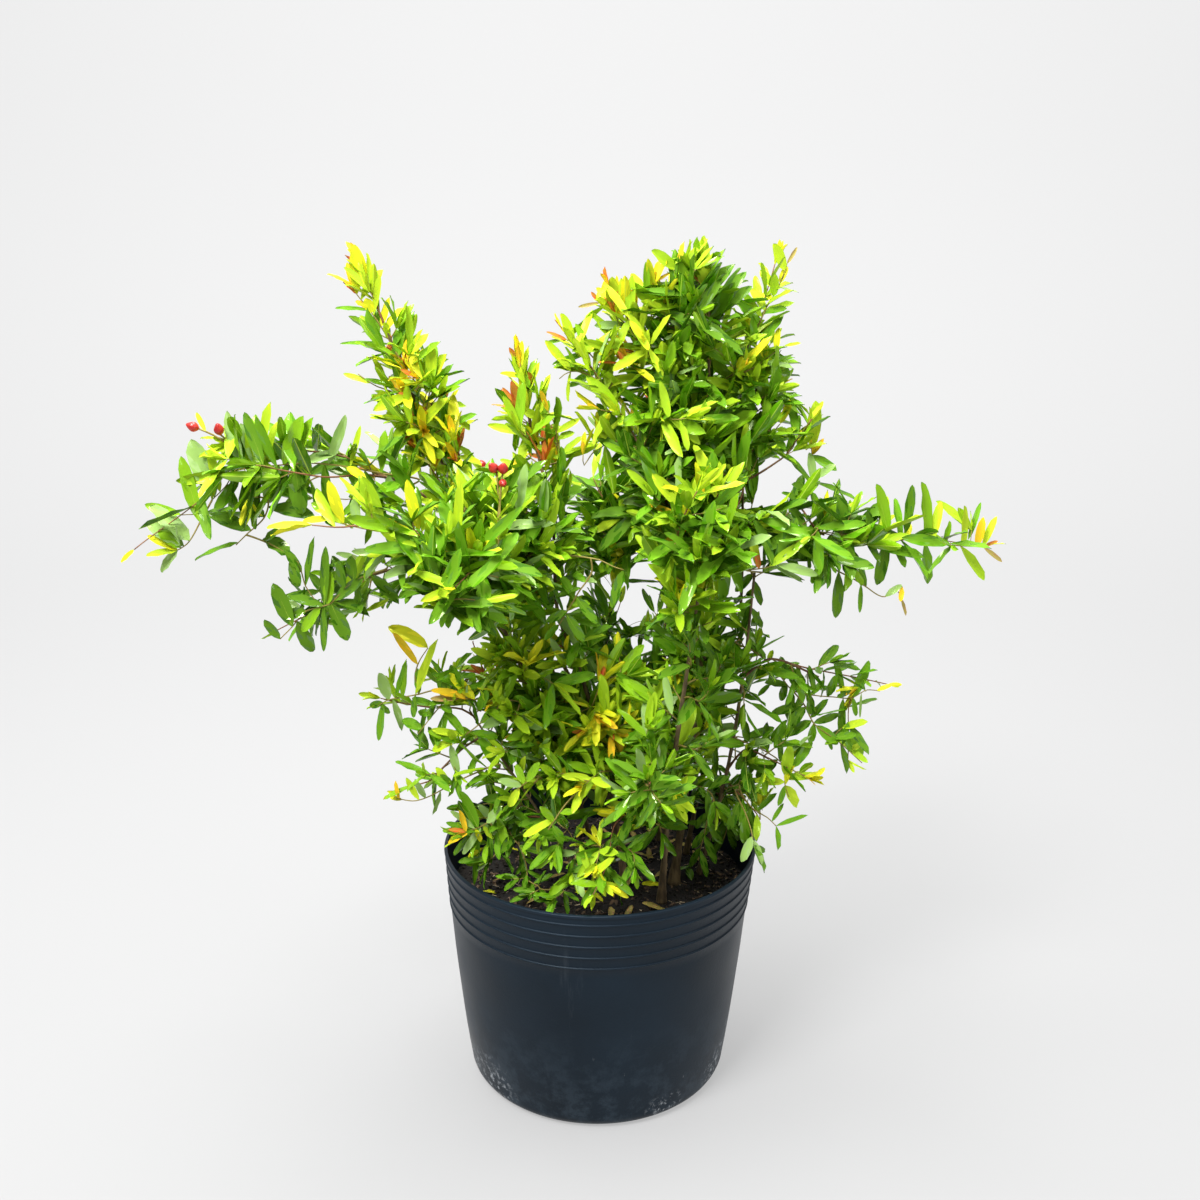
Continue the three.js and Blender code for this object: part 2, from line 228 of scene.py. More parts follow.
def add_noise(tree, detail):
    """A noise node; its vector and its scale come through links."""
    node = tree.nodes.new("ShaderNodeTexNoise")
    node.inputs["Detail"].default_value = detail
    return node


def add_range(tree, low, high, to_low=0.0, to_high=1.0):
    """A node that stretches one range of values over another."""
    node = tree.nodes.new("ShaderNodeMapRange")
    for label, value in (("From Min", low), ("From Max", high), ("To Min", to_low), ("To Max", to_high)):
        node.inputs[label].default_value = value
    return node


def times(tree, one, other):
    """The product of two values that change over the surface."""
    node = tree.nodes.new("ShaderNodeMath")
    node.operation = "MULTIPLY"
    tree.links.new(one, node.inputs[0])
    tree.links.new(other, node.inputs[1])
    return node.outputs["Value"]


mottle, given, made = new_group(
    "mottle",
    [("Vector", "Vector", None), ("Scale", "Float", 40.0),
     ("Dark", "Color", (0, 0, 0, 1)), ("Light", "Color", (1, 1, 1, 1))],
    [("Color", "Color"), ("Mask", "Float")],
)
clouds = add_noise(mottle, 6)
contrast = add_range(mottle, 0.33, 0.68)
tones = mottle.nodes.new("ShaderNodeMix")
tones.data_type = "RGBA"
wire(mottle,
     (given, "Vector", clouds, "Vector"), (given, "Scale", clouds, "Scale"),
     (clouds, "Fac", contrast, "Value"), (contrast, "Result", tones, "Factor"),
     (given, "Dark", tones, "A"), (given, "Light", tones, "B"),
     (tones, "Result", made, "Color"), (contrast, "Result", made, "Mask"))

relief, given, made = new_group(
    "fine relief",
    [("Vector", "Vector", None), ("Scale", "Float", 300.0),
     ("Strength", "Float", 0.3), ("Depth", "Float", 0.001)],
    [("Normal", "Vector")],
)
grain = add_noise(relief, 4)
bump = relief.nodes.new("ShaderNodeBump")
wire(relief,
     (given, "Vector", grain, "Vector"), (given, "Scale", grain, "Scale"),
     (given, "Strength", bump, "Strength"), (given, "Depth", bump, "Distance"),
     (grain, "Fac", bump, "Height"), (bump, "Normal", made, "Normal"))

film, given, made = new_group(
    "film",
    [("Vector", "Vector", None), ("Scale", "Float", 20.0),
     ("Threshold", "Float", 0.55), ("Amount", "Float", 1.0)],
    [("Mask", "Float")],
)
patches = add_noise(film, 8)
patches.inputs["Roughness"].default_value = 0.7
full = film.nodes.new("ShaderNodeMath")
full.operation = "ADD"
full.inputs[1].default_value = FILM_EDGE
edge = add_range(film, 0, 1)
wire(film,
     (given, "Vector", patches, "Vector"), (given, "Scale", patches, "Scale"),
     (given, "Threshold", full, 0), (patches, "Fac", edge, "Value"),
     (given, "Threshold", edge, "From Min"), (full, "Value", edge, "From Max"))
film.links.new(times(film, edge.outputs["Result"], given.outputs["Amount"]), made.inputs["Mask"])


def new_material(name, roughness):
    """A material, its node tree, its shader and its object coordinates."""
    material = bpy.data.materials.new(name)
    material.use_nodes = True
    tree = material.node_tree
    shader = tree.nodes["Principled BSDF"]
    shader.inputs["Roughness"].default_value = roughness
    spot = tree.nodes.new("ShaderNodeTexCoord").outputs["Object"]
    return material, tree, shader, spot


def place_group(tree, group, vector, **values):
    """Puts a shared group in a material with its own values."""
    node = tree.nodes.new("ShaderNodeGroup")
    node.node_tree = group
    tree.links.new(vector, node.inputs["Vector"])
    for label, value in values.items():
        node.inputs[label].default_value = value
    return node


def stretched(tree, vector, scale):
    """The same coordinates, scaled unevenly."""
    node = tree.nodes.new("ShaderNodeMapping")
    node.inputs["Scale"].default_value = scale
    tree.links.new(vector, node.inputs["Vector"])
    return node.outputs["Vector"]


def mixed_colour(tree, factor, under, over):
    """One colour laid over another; over is a socket or a plain colour."""
    node = tree.nodes.new("ShaderNodeMix")
    node.data_type = "RGBA"
    tree.links.new(factor, node.inputs["Factor"])
    tree.links.new(under, node.inputs["A"])
    node.inputs["B"].default_value = over
    return node.outputs["Result"]


def mottled_finish(name, roughness, tones, grain):
    """Two mottled tones and a fine relief: tones are a scale, a dark and a light colour."""
    material, tree, shader, spot = new_material(name, roughness)
    scale, dark, light = tones
    colour = place_group(tree, mottle, spot, Scale=scale, Dark=(*dark, 1), Light=(*light, 1))
    scale, strength, depth = grain
    skin = place_group(tree, relief, spot, Scale=scale, Strength=strength, Depth=depth)
    wire(tree, (colour, "Color", shader, "Base Color"), (skin, "Normal", shader, "Normal"))
    return material


print("shared groups:", [group.name for group in bpy.data.node_groups])

# %% [markdown]
# ## Pot
# A nursery pot is blown from thin soft plastic: a slight taper, a round foot, five raised
# rings under a small lip, and drain holes in the floor. It is a turned shape, so one
# profile is spun round the axis. The wall is never quite round on the real thing, so a
# slow wave is laid on it afterwards, and a Boolean punches the drain holes.

# %% Pot profile
RIM_RADIUS = 150 * MM
FOOT_RADIUS = 123.5 * MM
POT_HEIGHT = 230 * MM
POT_WALL = 1.8 * MM
POT_FLOOR = 2.4 * MM
FOOT_ROUNDING = 12 * MM
LIP = 3 * MM
LIP_ROUNDING = 1.2 * MM
RING_COUNT = 5
FIRST_RING_DROP = 10 * MM
RING_PITCH = 10.9 * MM
RING_HEIGHT = 2.6 * MM
RING_STAND_OUT = 1.05 * MM
RING_SHAPE = ((-0.5, 0), (-0.3, 0.35), (-0.1, 0.85), (0.1, 1), (0.3, 0.8), (0.42, 0.35), (0.5, 0))
SPIN_STEPS = 144


def pot_radius(height):
    """Outer radius of the wall at this height."""
    top = RIM_RADIUS - LIP + POT_WALL
    return FOOT_RADIUS + (top - FOOT_RADIUS) * max(0, height / POT_HEIGHT) ** 0.76


def arc(centre, radius, first, last, count):
    """Points on an arc in the profile's plane, angles in degrees."""
    angles = [math.radians(first + (last - first) * k / count) for k in range(count + 1)]
    return [(centre[0] + radius * math.cos(a), centre[1] + radius * math.sin(a)) for a in angles]


def ring_profile(height):
    """A raised ring: it swells slowly from below and ends in a narrow ledge."""
    made = []
    for rise, out in RING_SHAPE:
        level = height + RING_HEIGHT * rise
        made.append((pot_radius(level) + RING_STAND_OUT * out, level))
    return made


def pot_profile():
    """The closed outline of the wall, from the middle of the underside and back."""
    foot_centre = (pot_radius(FOOT_ROUNDING) - FOOT_ROUNDING, FOOT_ROUNDING)
    inner_centre = (foot_centre[0] - POT_WALL, FOOT_ROUNDING + POT_FLOOR)
    outline = [(0, 0), (0.5 * FOOT_RADIUS, 0)]
    outline += arc(foot_centre, FOOT_ROUNDING, -90, 0, 7)
    lowest_ring = POT_HEIGHT - FIRST_RING_DROP - (RING_COUNT - 1) * RING_PITCH
    outline += [(pot_radius(h), h) for h in np.linspace(0.03, lowest_ring - 0.01, 9)]
    for ring in range(RING_COUNT):
        outline += ring_profile(lowest_ring + ring * RING_PITCH)
    lip_foot = POT_HEIGHT - LIP
    outline += [(pot_radius(lip_foot), lip_foot - 0.4 * MM), (RIM_RADIUS - 0.5 * MM, lip_foot)]
    outline += arc((RIM_RADIUS - LIP_ROUNDING, POT_HEIGHT - LIP_ROUNDING), LIP_ROUNDING, 0, 90, 4)
    outline += [(RIM_RADIUS - LIP, POT_HEIGHT), (pot_radius(lip_foot) - POT_WALL, lip_foot)]
    outline += [(pot_radius(h) - POT_WALL, h) for h in np.linspace(0.21, 0.03, 8)]
    outline += arc(inner_centre, FOOT_ROUNDING, 0, -90, 5)
    return outline + [(0.5 * FOOT_RADIUS, POT_FLOOR), (0, POT_FLOOR)]


def turned(outline, steps):
    """Spins an outline of radius and height once round the upright axis."""
    shape = bmesh.new()
    row = [shape.verts.new((radius, 0, height)) for radius, height in outline]
    edges = [shape.edges.new(pair) for pair in zip(row, row[1:])]
    bmesh.ops.spin(shape, geom=row + edges, axis=UP, cent=(0, 0, 0), angle=2 * math.pi,
                   steps=steps, use_merge=True)
    bmesh.ops.remove_doubles(shape, verts=shape.verts, dist=0.01 * MM)
    bmesh.ops.recalc_face_normals(shape, faces=shape.faces)
    return shape


FOOT_SHIFT = Vector((-2.8, -3.5, 0)) * MM  # the soft pot stands a little askew under its rim
MOST_OUT = 0.002  # the wall leans out by no more than this part of its radius


def askew(place):
    """How far the pot and its soil are moved aside at this height."""
    return FOOT_SHIFT * (1 - (place.z / POT_HEIGHT) ** 2)


def out_of_round(place):
    """How far the thin wall leans out or in here, as a part of its radius."""
    turn = math.atan2(place.y, place.x)
    height = place.z / POT_HEIGHT
    slow = 0.0035 * math.sin(2 * turn + 0.6) + 0.002 * math.sin(3 * turn + 2.0)
    dents = 0.006 * (noise.noise(Vector((3 * math.cos(turn), 3 * math.sin(turn), 5 * height))))
    return slow * height + dents * height * (1 - height) * 2


pot_shape = turned(pot_profile(), SPIN_STEPS)
for vert in pot_shape.verts:
    lean = 1 + min(out_of_round(vert.co), MOST_OUT)
    vert.co.x *= lean
    vert.co.y *= lean
    vert.co += askew(vert.co)
pot = link("pot_body", mesh_of(pot_shape, "pot_body"))
print("pot faces:", len(pot.data.polygons))

# %% [markdown]
# The drain holes are six upright cylinders taken out of the floor. The cutter is one mesh,
# and the result of the Boolean becomes the pot's own mesh, so that nothing is left live.

# %% Drain holes
DRAIN_COUNT = 6
DRAIN_RADIUS = 7 * MM
DRAIN_CIRCLE = 86 * MM

drill = bmesh.new()
for k in range(DRAIN_COUNT):
    turn = 2 * math.pi * (k + 0.5) / DRAIN_COUNT
    at = Matrix.Translation((DRAIN_CIRCLE * math.cos(turn), DRAIN_CIRCLE * math.sin(turn), 0))
    bmesh.ops.create_cone(drill, cap_ends=True, segments=20, radius1=DRAIN_RADIUS,
                          radius2=DRAIN_RADIUS, depth=4 * POT_FLOOR, matrix=at)
cutter = link("drill", mesh_of(drill, "drill", smooth=False))


def take_out(piece, tool):
    """Cuts the tool's shape out of the piece and removes the tool."""
    cut = piece.modifiers.new("cut", "BOOLEAN")
    cut.operation = "DIFFERENCE"
    cut.solver = "EXACT"
    cut.object = tool
    graph = bpy.context.evaluated_depsgraph_get()
    finished = bpy.data.meshes.new_from_object(piece.evaluated_get(graph))
    piece.modifiers.clear()
    piece.data = finished
    bpy.data.objects.remove(tool)


take_out(pot, cutter)
pot.data.set_sharp_from_angle(angle=math.radians(50))
print("pot faces with its drain holes:", len(pot.data.polygons))

# %% [markdown]
# The plastic is a near-black navy with a satin skin. Its colour drifts a little, the foot
# carries pale dust and scratches from the ground it stood on, and the lighter patches of the
# drift are duller than the darker ones.

# %% Pot plastic
DUST_HEIGHT = 110 * MM  # how far up from the foot dust and scratches reach
DUST, STREAK = (0.10, 0.14, 0.18, 1), (0.11, 0.125, 0.14, 1)
CHALK, SCUFF = (0.42, 0.44, 0.46, 1), (0.46, 0.49, 0.52, 1)
SCUFFS = [  # where the pot was dragged: place and reach in mm
    ((-100, -78, 14), 40), ((-118, -48, 20), 24), ((124, -30, 46), 30), ((112, -62, 20), 30),
    ((-134, -20, 92), 16), ((60, -112, 8), 24),
]
plastic, tree, shader, spot = new_material("pot_plastic", 0.4)
shader.inputs["Specular IOR Level"].default_value = 0.21
shader.inputs["Specular Tint"].default_value = (0.72, 0.88, 1, 1)
drift = place_group(tree, mottle, spot, Scale=9, Dark=(0.0028, 0.0062, 0.011, 1),
                    Light=(0.006, 0.0125, 0.021, 1))
height = tree.nodes.new("ShaderNodeSeparateXYZ")
near_foot = add_range(tree, 0.0, DUST_HEIGHT, 1.0, 0.0)
tree.links.new(spot, height.inputs["Vector"])
wire(tree, (height, "Z", near_foot, "Value"))
low = near_foot.outputs["Result"]
upright, long = stretched(tree, spot, (1, 1, 0.12)), stretched(tree, spot, (1, 1, 0.35))
dust = place_group(tree, film, spot, Scale=34, Threshold=0.47, Amount=0.16)
streaks = place_group(tree, film, upright, Scale=60, Threshold=0.62, Amount=0.10)
scratches = place_group(tree, film, long, Scale=95, Threshold=0.685, Amount=0.9)
flecks = place_group(tree, film, spot, Scale=210, Threshold=0.525, Amount=1).outputs["Mask"]
dusty = times(tree, low, dust.outputs["Mask"])
scratched = times(tree, low, scratches.outputs["Mask"])
painted = mixed_colour(tree, dusty, drift.outputs["Color"], DUST)
painted = mixed_colour(tree, streaks.outputs["Mask"], painted, STREAK)
painted = mixed_colour(tree, scratched, painted, CHALK)
for place, reach in SCUFFS:
    away = tree.nodes.new("ShaderNodeVectorMath")
    away.operation = "DISTANCE"
    away.inputs[1].default_value = Vector(place) * MM
    tree.links.new(spot, away.inputs[0])
    close = add_range(tree, 0, reach * MM, 1, 0)
    wire(tree, (away, "Value", close, "Value"))
    painted = mixed_colour(tree, times(tree, close.outputs["Result"], flecks), painted, SCUFF)
tree.links.new(painted, shader.inputs["Base Color"])
dullness = add_range(tree, 0, 1, 0.36, 0.50)
skin = place_group(tree, relief, spot, Scale=420, Strength=0.16, Depth=0.0006)
wire(tree,
     (drift, "Mask", dullness, "Value"), (dullness, "Result", shader, "Roughness"),
     (skin, "Normal", shader, "Normal"))
pot.data.materials.clear()
pot.data.materials.append(plastic)
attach(pot, "root")
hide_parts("pot")

# %% [markdown]
# ## Soil
# The soil is a turned lump too: a bumpy top that sinks a little towards the wall, with a
# side and an underside inside the pot. Over it lie crumbs, bark chips and straw. Small
# things like these are made once or twice as a tiny mesh and then repeated by arrays of
# numbers into one joined mesh, which is far quicker than thousands of objects.

# %% Soil lump
SOIL_LEVEL = 190 * MM
SOIL_STEPS = 110
SOIL_RINGS = 30
SOIL_CLEARANCE = 0.3 * MM  # between the soil and the plastic
SOIL_BUMPS = ((22, 0, 3.2), (85, 0.3, 2.0), (260, 0.7, 0.8))  # closeness, layer, height in mm


def soil_height(x, y):
    """Height of the bumpy soil at a place in the pot."""
    height = SOIL_LEVEL - 2 * MM
    for closeness, layer, size in SOIL_BUMPS:
        height += noise.noise(Vector((x, y, layer)) * closeness) * size * MM
    return height - max(0, math.hypot(x, y) / (140 * MM) - 0.8) * 16 * MM


soil_edge = pot_radius(SOIL_LEVEL) - POT_WALL - SOIL_CLEARANCE
soil_foot = pot_radius(FOOT_ROUNDING) - POT_WALL - FOOT_ROUNDING
soil_floor = POT_FLOOR + SOIL_CLEARANCE
soil_outline = [(0, soil_floor), (soil_foot, soil_floor), (pot_radius(0.02) - 3 * POT_WALL, 0.02)]
soil_outline += [(soil_edge * k / SOIL_RINGS, SOIL_LEVEL) for k in range(SOIL_RINGS, -1, -1)]
soil_shape = turned(soil_outline, SOIL_STEPS)
for vert in soil_shape.verts:
    vert.co += askew(vert.co)
    if vert.co.z > SOIL_LEVEL - 1 * MM:
        vert.co.z = soil_height(vert.co.x, vert.co.y)
soil = link("soil_lump", mesh_of(soil_shape, "soil_lump"))
earth_tones = (150, (0.005, 0.0035, 0.0025), (0.018, 0.013, 0.009))
soil.data.materials.append(mottled_finish("soil_earth", 0.95, earth_tones, (900, 0.9, 0.002)))
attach(soil, "root")
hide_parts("soil")
print("soil faces:", len(soil.data.polygons))

# %% [markdown]
# `Stamp` holds one small mesh as arrays. `Joiner` collects many placed copies of stamps
# and makes one mesh of them, with the faces sorted into material slots.

# %% Arrays of small meshes
class Stamp:
    """One small mesh as arrays: corner places, face sizes and the part each face is of."""

    def __init__(self, shape):
        shape.verts.index_update()
        self.places = np.array([vert.co[:] for vert in shape.verts])
        self.corners = np.array([v.index for face in shape.faces for v in face.verts])
        self.sizes = np.array([len(face.verts) for face in shape.faces])
        self.parts = np.array([face.material_index for face in shape.faces])
        shape.free()


class Joiner:
    """Placed copies of stamps, gathered into one mesh."""

    def __init__(self):
        self.places, self.corners, self.sizes, self.slots = [], [], [], []
        self.count = 0
        self.copies = 0

    def add(self, places, corners, sizes, slots):
        self.places.append(places)
        self.corners.append(corners + self.count)
        self.sizes.append(sizes)
        self.slots.append(slots)
        self.count += len(places)
        self.copies += 1

    def triangles(self):
        return int(sum((sizes - 2).sum() for sizes in self.sizes))

    def mesh(self, name, materials):
        made = bpy.data.meshes.new(name)
        sizes = np.concatenate(self.sizes)
        corners = np.concatenate(self.corners)
        slots = np.concatenate(self.slots)
        worn, slots = np.unique(slots, return_inverse=True)
        made.vertices.add(self.count)
        made.vertices.foreach_set("co", np.concatenate(self.places).astype(np.float32).ravel())
        made.loops.add(len(corners))
        made.loops.foreach_set("vertex_index", corners.astype(np.int32))
        made.polygons.add(len(sizes))
        made.polygons.foreach_set("loop_start", (np.cumsum(sizes) - sizes).astype(np.int32))
        for slot in worn:
            made.materials.append(materials[slot])
        made.polygons.foreach_set("material_index", slots.astype(np.int32))
        made.polygons.foreach_set("use_smooth", np.ones(len(sizes), bool))
        made.update(calc_edges=True)
        made.validate()
        return made


def lay(joiner, stamp, place, axes, slot=0):
    """One copy of a stamp: axes are the three scaled directions of its own x, y and z."""
    spots = np.array(place) + stamp.places @ np.array(axes)
    joiner.add(spots, stamp.corners, stamp.sizes, stamp.parts + slot)


# %% Crumbs, chips and straw
def lump_stamp(rng, roughness):
    """A rough pebble-like crumb."""
    shape = bmesh.new()
    bmesh.ops.create_icosphere(shape, subdivisions=1, radius=1)
    for vert in shape.verts:
        vert.co *= 1 + rng.uniform(-roughness, roughness)
    return Stamp(shape)


def sliver_stamp(rng, taper):
    """A flat split chip, thinner at one end."""
    shape = bmesh.new()
    bmesh.ops.create_cube(shape, size=2)
    bmesh.ops.subdivide_edges(shape, edges=shape.edges, cuts=1)
    for vert in shape.verts:
        slim = 1 - taper * (vert.co.x + 1) / 2
        vert.co.y *= slim * (1 + rng.uniform(-0.25, 0.25))
        vert.co.z *= slim * (1 + rng.uniform(-0.3, 0.3))
    return Stamp(shape)


def tumbled(rng, length, width, height, tilt):
    """Scaled axes of a piece that lies nearly flat, turned at random."""
    turn = Matrix.Rotation(rng.uniform(0, 2 * math.pi), 3, "Z")
    turn = turn @ Matrix.Rotation(rng.gauss(0, tilt), 3, "X") @ Matrix.Rotation(rng.gauss(0, tilt), 3, "Y")
    axes = np.array(turn).T
    return axes * np.array([[length], [width], [height]])


def scattered(rng, reach):
    """A random place on the soil within this radius."""
    turn = rng.uniform(0, 2 * math.pi)
    radius = reach * math.sqrt(rng.random())
    x, y = radius * math.cos(turn), radius * math.sin(turn)
    return x, y, soil_height(x, y)


LITTER = [
    # name, how many, reach, longest, width and height as parts of the length, dark, light
    ("soil_crumbs", 2600, 141, (1.2, 4.2), 0.85, 0.7, (0.005, 0.004, 0.003), (0.030, 0.020, 0.013)),
    ("soil_chips", 420, 138, (3.0, 8.0), 0.42, 0.22, (0.030, 0.018, 0.010), (0.20, 0.125, 0.070)),
    ("soil_straw", 200, 136, (5.0, 11.0), 0.10, 0.06, (0.26, 0.19, 0.11), (0.62, 0.50, 0.33)),
]
rng = chance("litter")
for name, count, reach, (shortest, longest), width, height, dark, light in LITTER:
    if name == "soil_crumbs":
        stamps = [lump_stamp(rng, 0.28) for _ in range(6)]
    else:
        stamps = [sliver_stamp(rng, rng.uniform(0.2, 0.6)) for _ in range(6)]
    heap = Joiner()
    for _ in range(count):
        size = rng.uniform(shortest, longest) * MM / 2
        x, y, z = scattered(rng, reach * MM)
        axes = tumbled(rng, size, size * width, size * height, 0.25)
        lay(heap, rng.choice(stamps), (x, y, z + size * height * 0.6), axes)
    finish = mottled_finish(name, 0.9, (120, dark, light), (1400, 0.5, 0.0008))
    litter = link(name, heap.mesh(name, [finish]))
    litter.data.polygons.foreach_set("use_smooth", np.zeros(len(litter.data.polygons), bool))
    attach(litter, "root")
    print(name, heap.copies, "pieces,", heap.triangles(), "triangles")

# %% [markdown]
# ## Limbs
# Every stem and bough follows the same centre line as its solid in the frame: a smooth
# curve through a few points, in millimetres. A stem has the radius of its foot and of its
# tip, and swells where it leaves the soil.

# %% Centre lines
GROUND = 190.3
STEMS = {
    "stem_main": (6.2, 1.6, [(72, -8, GROUND), (88, 8, 330), (103, 28, 466), (103, 26, 545),
                             (97, 8, 640), (94, 2, 735)]),
    "stem_front": (4.8, 2, [(58, -46, GROUND), (64, -50, 300), (76, -56, 410), (88, -70, 520)]),
    "stem_left": (4.8, 1.5, [(24, -12, GROUND), (4, -4, 320), (-20, -2, 405), (-39, -10, 463),
                             (-42, -4, 540), (-64, 16, 640)]),
    "stem_left_low": (4, 1.8, [(0, 12, GROUND), (-30, 2, 300), (-63, -12, 392), (-88, -34, 455),
                               (-118, -84, 530)]),
    "stem_back_left": (4.2, 1.4, [(20, 44, GROUND), (-6, 62, 310), (-58, 64, 430),
                                  (-128, 52, 545), (-196, 61, 712)]),
    "stem_back": (3.6, 1.4, [(62, 82, GROUND), (62, 78, 320), (66, 72, 440), (70, 84, 560),
                             (80, 92, 660)]),
    "stem_back_right": (3.6, 1.3, [(88, 52, GROUND), (112, 62, 320), (136, 56, 450),
                                   (132, 34, 580), (146, 26, 700)]),
    "stem_right": (3.6, 1.8, [(98, 8, GROUND), (122, 4, 300), (134, 0, 400), (140, -10, 500)]),
    "stem_low_left": (3, 1.4, [(-14, -22, GROUND), (-52, -28, 262), (-92, -34, 330),
                               (-120, -26, 372)]),
}
BOUGHS = {
    "bough_arm_left": (2.4, 1.8, [(-98, -50, 480), (-120, -52, 548), (-172, -58, 592),
                                  (-196, -66, 598)]),
    "bough_arm_left_low": (2.2, 1.6, [(-84, -30, 447), (-122, -48, 496), (-178, -66, 516),
                                      (-206, -70, 508)]),
    "bough_arm_left_mid": (2.2, 1.6, [(-112, -74, 516), (-140, -110, 552), (-184, -142, 571)]),
    "bough_top_left": (2.2, 1.5, [(101, 18, 590), (74, 2, 632), (44, -10, 668)]),
    "bough_top_far_left": (2.2, 1.5, [(84, -66, 500), (62, -44, 560), (28, -22, 628)]),
    "bough_arm_right": (3, 2, [(103, 26, 530), (132, 4, 546), (168, -14, 544), (200, -18, 536)]),
    "bough_spur_right": (2, 1.4, [(102, 22, 570), (132, 8, 580), (162, 4, 600)]),
    "bough_low_right": (2.2, 1.5, [(132, 1, 392), (158, -2, 414), (188, -2, 404), (204, -2, 396)]),
    "bough_low_right_foot": (2, 1.4, [(121, 4, 298), (138, -8, 326), (158, -22, 322)]),
    "bough_low_left": (1.9, 1.3, [(-106, -31, 350), (-126, -40, 340), (-152, -52, 316)]),
    "bough_back_left": (2.4, 1.6, [(-40, 64, 398), (-74, 104, 462), (-118, 148, 520)]),
    "bough_back_right": (2.4, 1.6, [(66, 73, 450), (92, 116, 496), (126, 158, 540)]),
    "bough_front": (2.2, 1.5, [(62, -49, 280), (50, -82, 318), (40, -112, 336)]),
}
BARE_SHARE = 0.6  # the solids stand for wood with its leaf joints, the wood itself is thinner
FLARE_LENGTH = 16 * MM
FLARE_GAIN = 0.7
LIMB_STEP = 3 * MM


def smooth_line(points, step):
    """Evenly spaced points on a centripetal curve through the given ones."""
    ends = [2 * points[0] - points[1], *points, 2 * points[-1] - points[-2]]
    dense = []
    for a, b, c, d in zip(ends, ends[1:], ends[2:], ends[3:]):
        knots = np.cumsum([0] + [math.sqrt((q - p).length) for p, q in ((a, b), (b, c), (c, d))])
        for t in np.linspace(knots[1], knots[2], 24, endpoint=False):
            row = [a, b, c, d]
            for depth in (1, 2, 3):
                row = [
                    row[k] + (row[k + 1] - row[k]) * ((t - knots[k]) / (knots[k + depth] - knots[k]))
                    for k in range(len(row) - 1)
                ]
            dense.append(row[0])
    dense.append(points[-1])
    return spaced(dense, step)


def spaced(points, step):
    """The same line with evenly spaced points."""
    lengths = [0.0]
    for a, b in zip(points, points[1:]):
        lengths.append(lengths[-1] + (b - a).length)
    count = max(2, round(lengths[-1] / step))
    made, k = [], 0
    for j in range(count + 1):
        along = lengths[-1] * j / count
        while k < len(lengths) - 2 and lengths[k + 1] < along:
            k += 1
        share = (along - lengths[k]) / max(lengths[k + 1] - lengths[k], 1e-9)
        made.append(points[k].lerp(points[k + 1], min(1, share)))
    return made


def limb(name, foot, tip, path):
    """A limb's line and its radius at each point."""
    line = smooth_line([Vector(p) * MM for p in path], LIMB_STEP)
    rooted = name.startswith("stem")
    radii = []
    for k in range(len(line)):
        along = k / (len(line) - 1)
        height = line[k].z - GROUND * MM
        flare = FLARE_GAIN * math.exp(-height / FLARE_LENGTH) if rooted else 0
        radii.append((foot + (tip - foot) * along) * MM * BARE_SHARE * (1 + flare))
    return {"name": name, "line": line, "radii": radii, "rooted": rooted}


limbs = [limb(name, *sizes) for name, sizes in {**STEMS, **BOUGHS}.items()]
print("limbs:", len(limbs), "points:", sum(len(one["line"]) for one in limbs))

# %% [markdown]
# ## Bark
# Each limb becomes a tube with real relief. A plain cylinder is cut into many rings, and
# every vertex is carried onto the centre line. On the way its radius takes lengthwise
# ridges, a small swelling at each old leaf joint and some noise, so that the outline is
# never a clean pipe, and the lowest ring of a stem sinks just into the soil.

# %% Bark meshes
BARK_SIDES = 14
JOINT_PITCH = 21 * MM
RIDGE_DEPTH = 0.085
SWELLING = 0.16
SINK = 5 * MM  # how far a stem goes on below the top of the soil, a little thicker there
FOOT_GAIN = 1.1


def frames_along(line):
    """Two directions across the line at each point, without twist."""
    across = []
    side = None
    for k, place in enumerate(line):
        tangent = (line[min(k + 1, len(line) - 1)] - line[max(k - 1, 0)]).normalized()
        if side is None:
            side = tangent.orthogonal().normalized()
        side = (side - tangent * side.dot(tangent)).normalized()
        across.append((side, tangent.cross(side)))
    return across


def outward(pair, turn):
    """The direction at this angle round a line, from its two directions across."""
    return pair[0] * math.cos(turn) + pair[1] * math.sin(turn)


def bark_mesh(one):
    """A tube with ridges and joints round a limb's line."""
    line, radii = list(one["line"]), list(one["radii"])
    if one["rooted"]:
        line.insert(0, line[0] - UP * SINK)
        radii.insert(0, radii[0] * FOOT_GAIN)
    across = frames_along(line)
    rings = len(line) - 1
    seed = Vector((len(one["name"]), rings, 0))
    tube = bmesh.new()
    bmesh.ops.create_cone(tube, cap_ends=True, segments=BARK_SIDES, radius1=1, radius2=1, depth=1)
    upright = [e for e in tube.edges if abs(e.verts[0].co.z - e.verts[1].co.z) > 0.5]
    bmesh.ops.subdivide_edges(tube, edges=upright, cuts=rings - 1, use_grid_fill=True)
    for vert in tube.verts:
        k = min(rings, max(0, round((vert.co.z + 0.5) * rings)))
        turn = math.atan2(vert.co.y, vert.co.x)
        way = outward(across[k], turn)
        ridges = math.sin(5 * turn + 0.02 * k) * noise.noise(seed + way * 1.5 + line[k] * 20)
        rough = noise.noise(seed + (line[k] + way * radii[k]) * 330)
        joint = (k * LIMB_STEP / JOINT_PITCH) % 1
        swell = SWELLING * math.exp(-((joint - 0.5) / 0.09) ** 2)
        radius = radii[k] * (1 + RIDGE_DEPTH * (2 * ridges + rough) + swell)
        vert.co = line[k] + way * radius
    bmesh.ops.recalc_face_normals(tube, faces=tube.faces)
    return mesh_of(tube, "bark_" + one["name"])


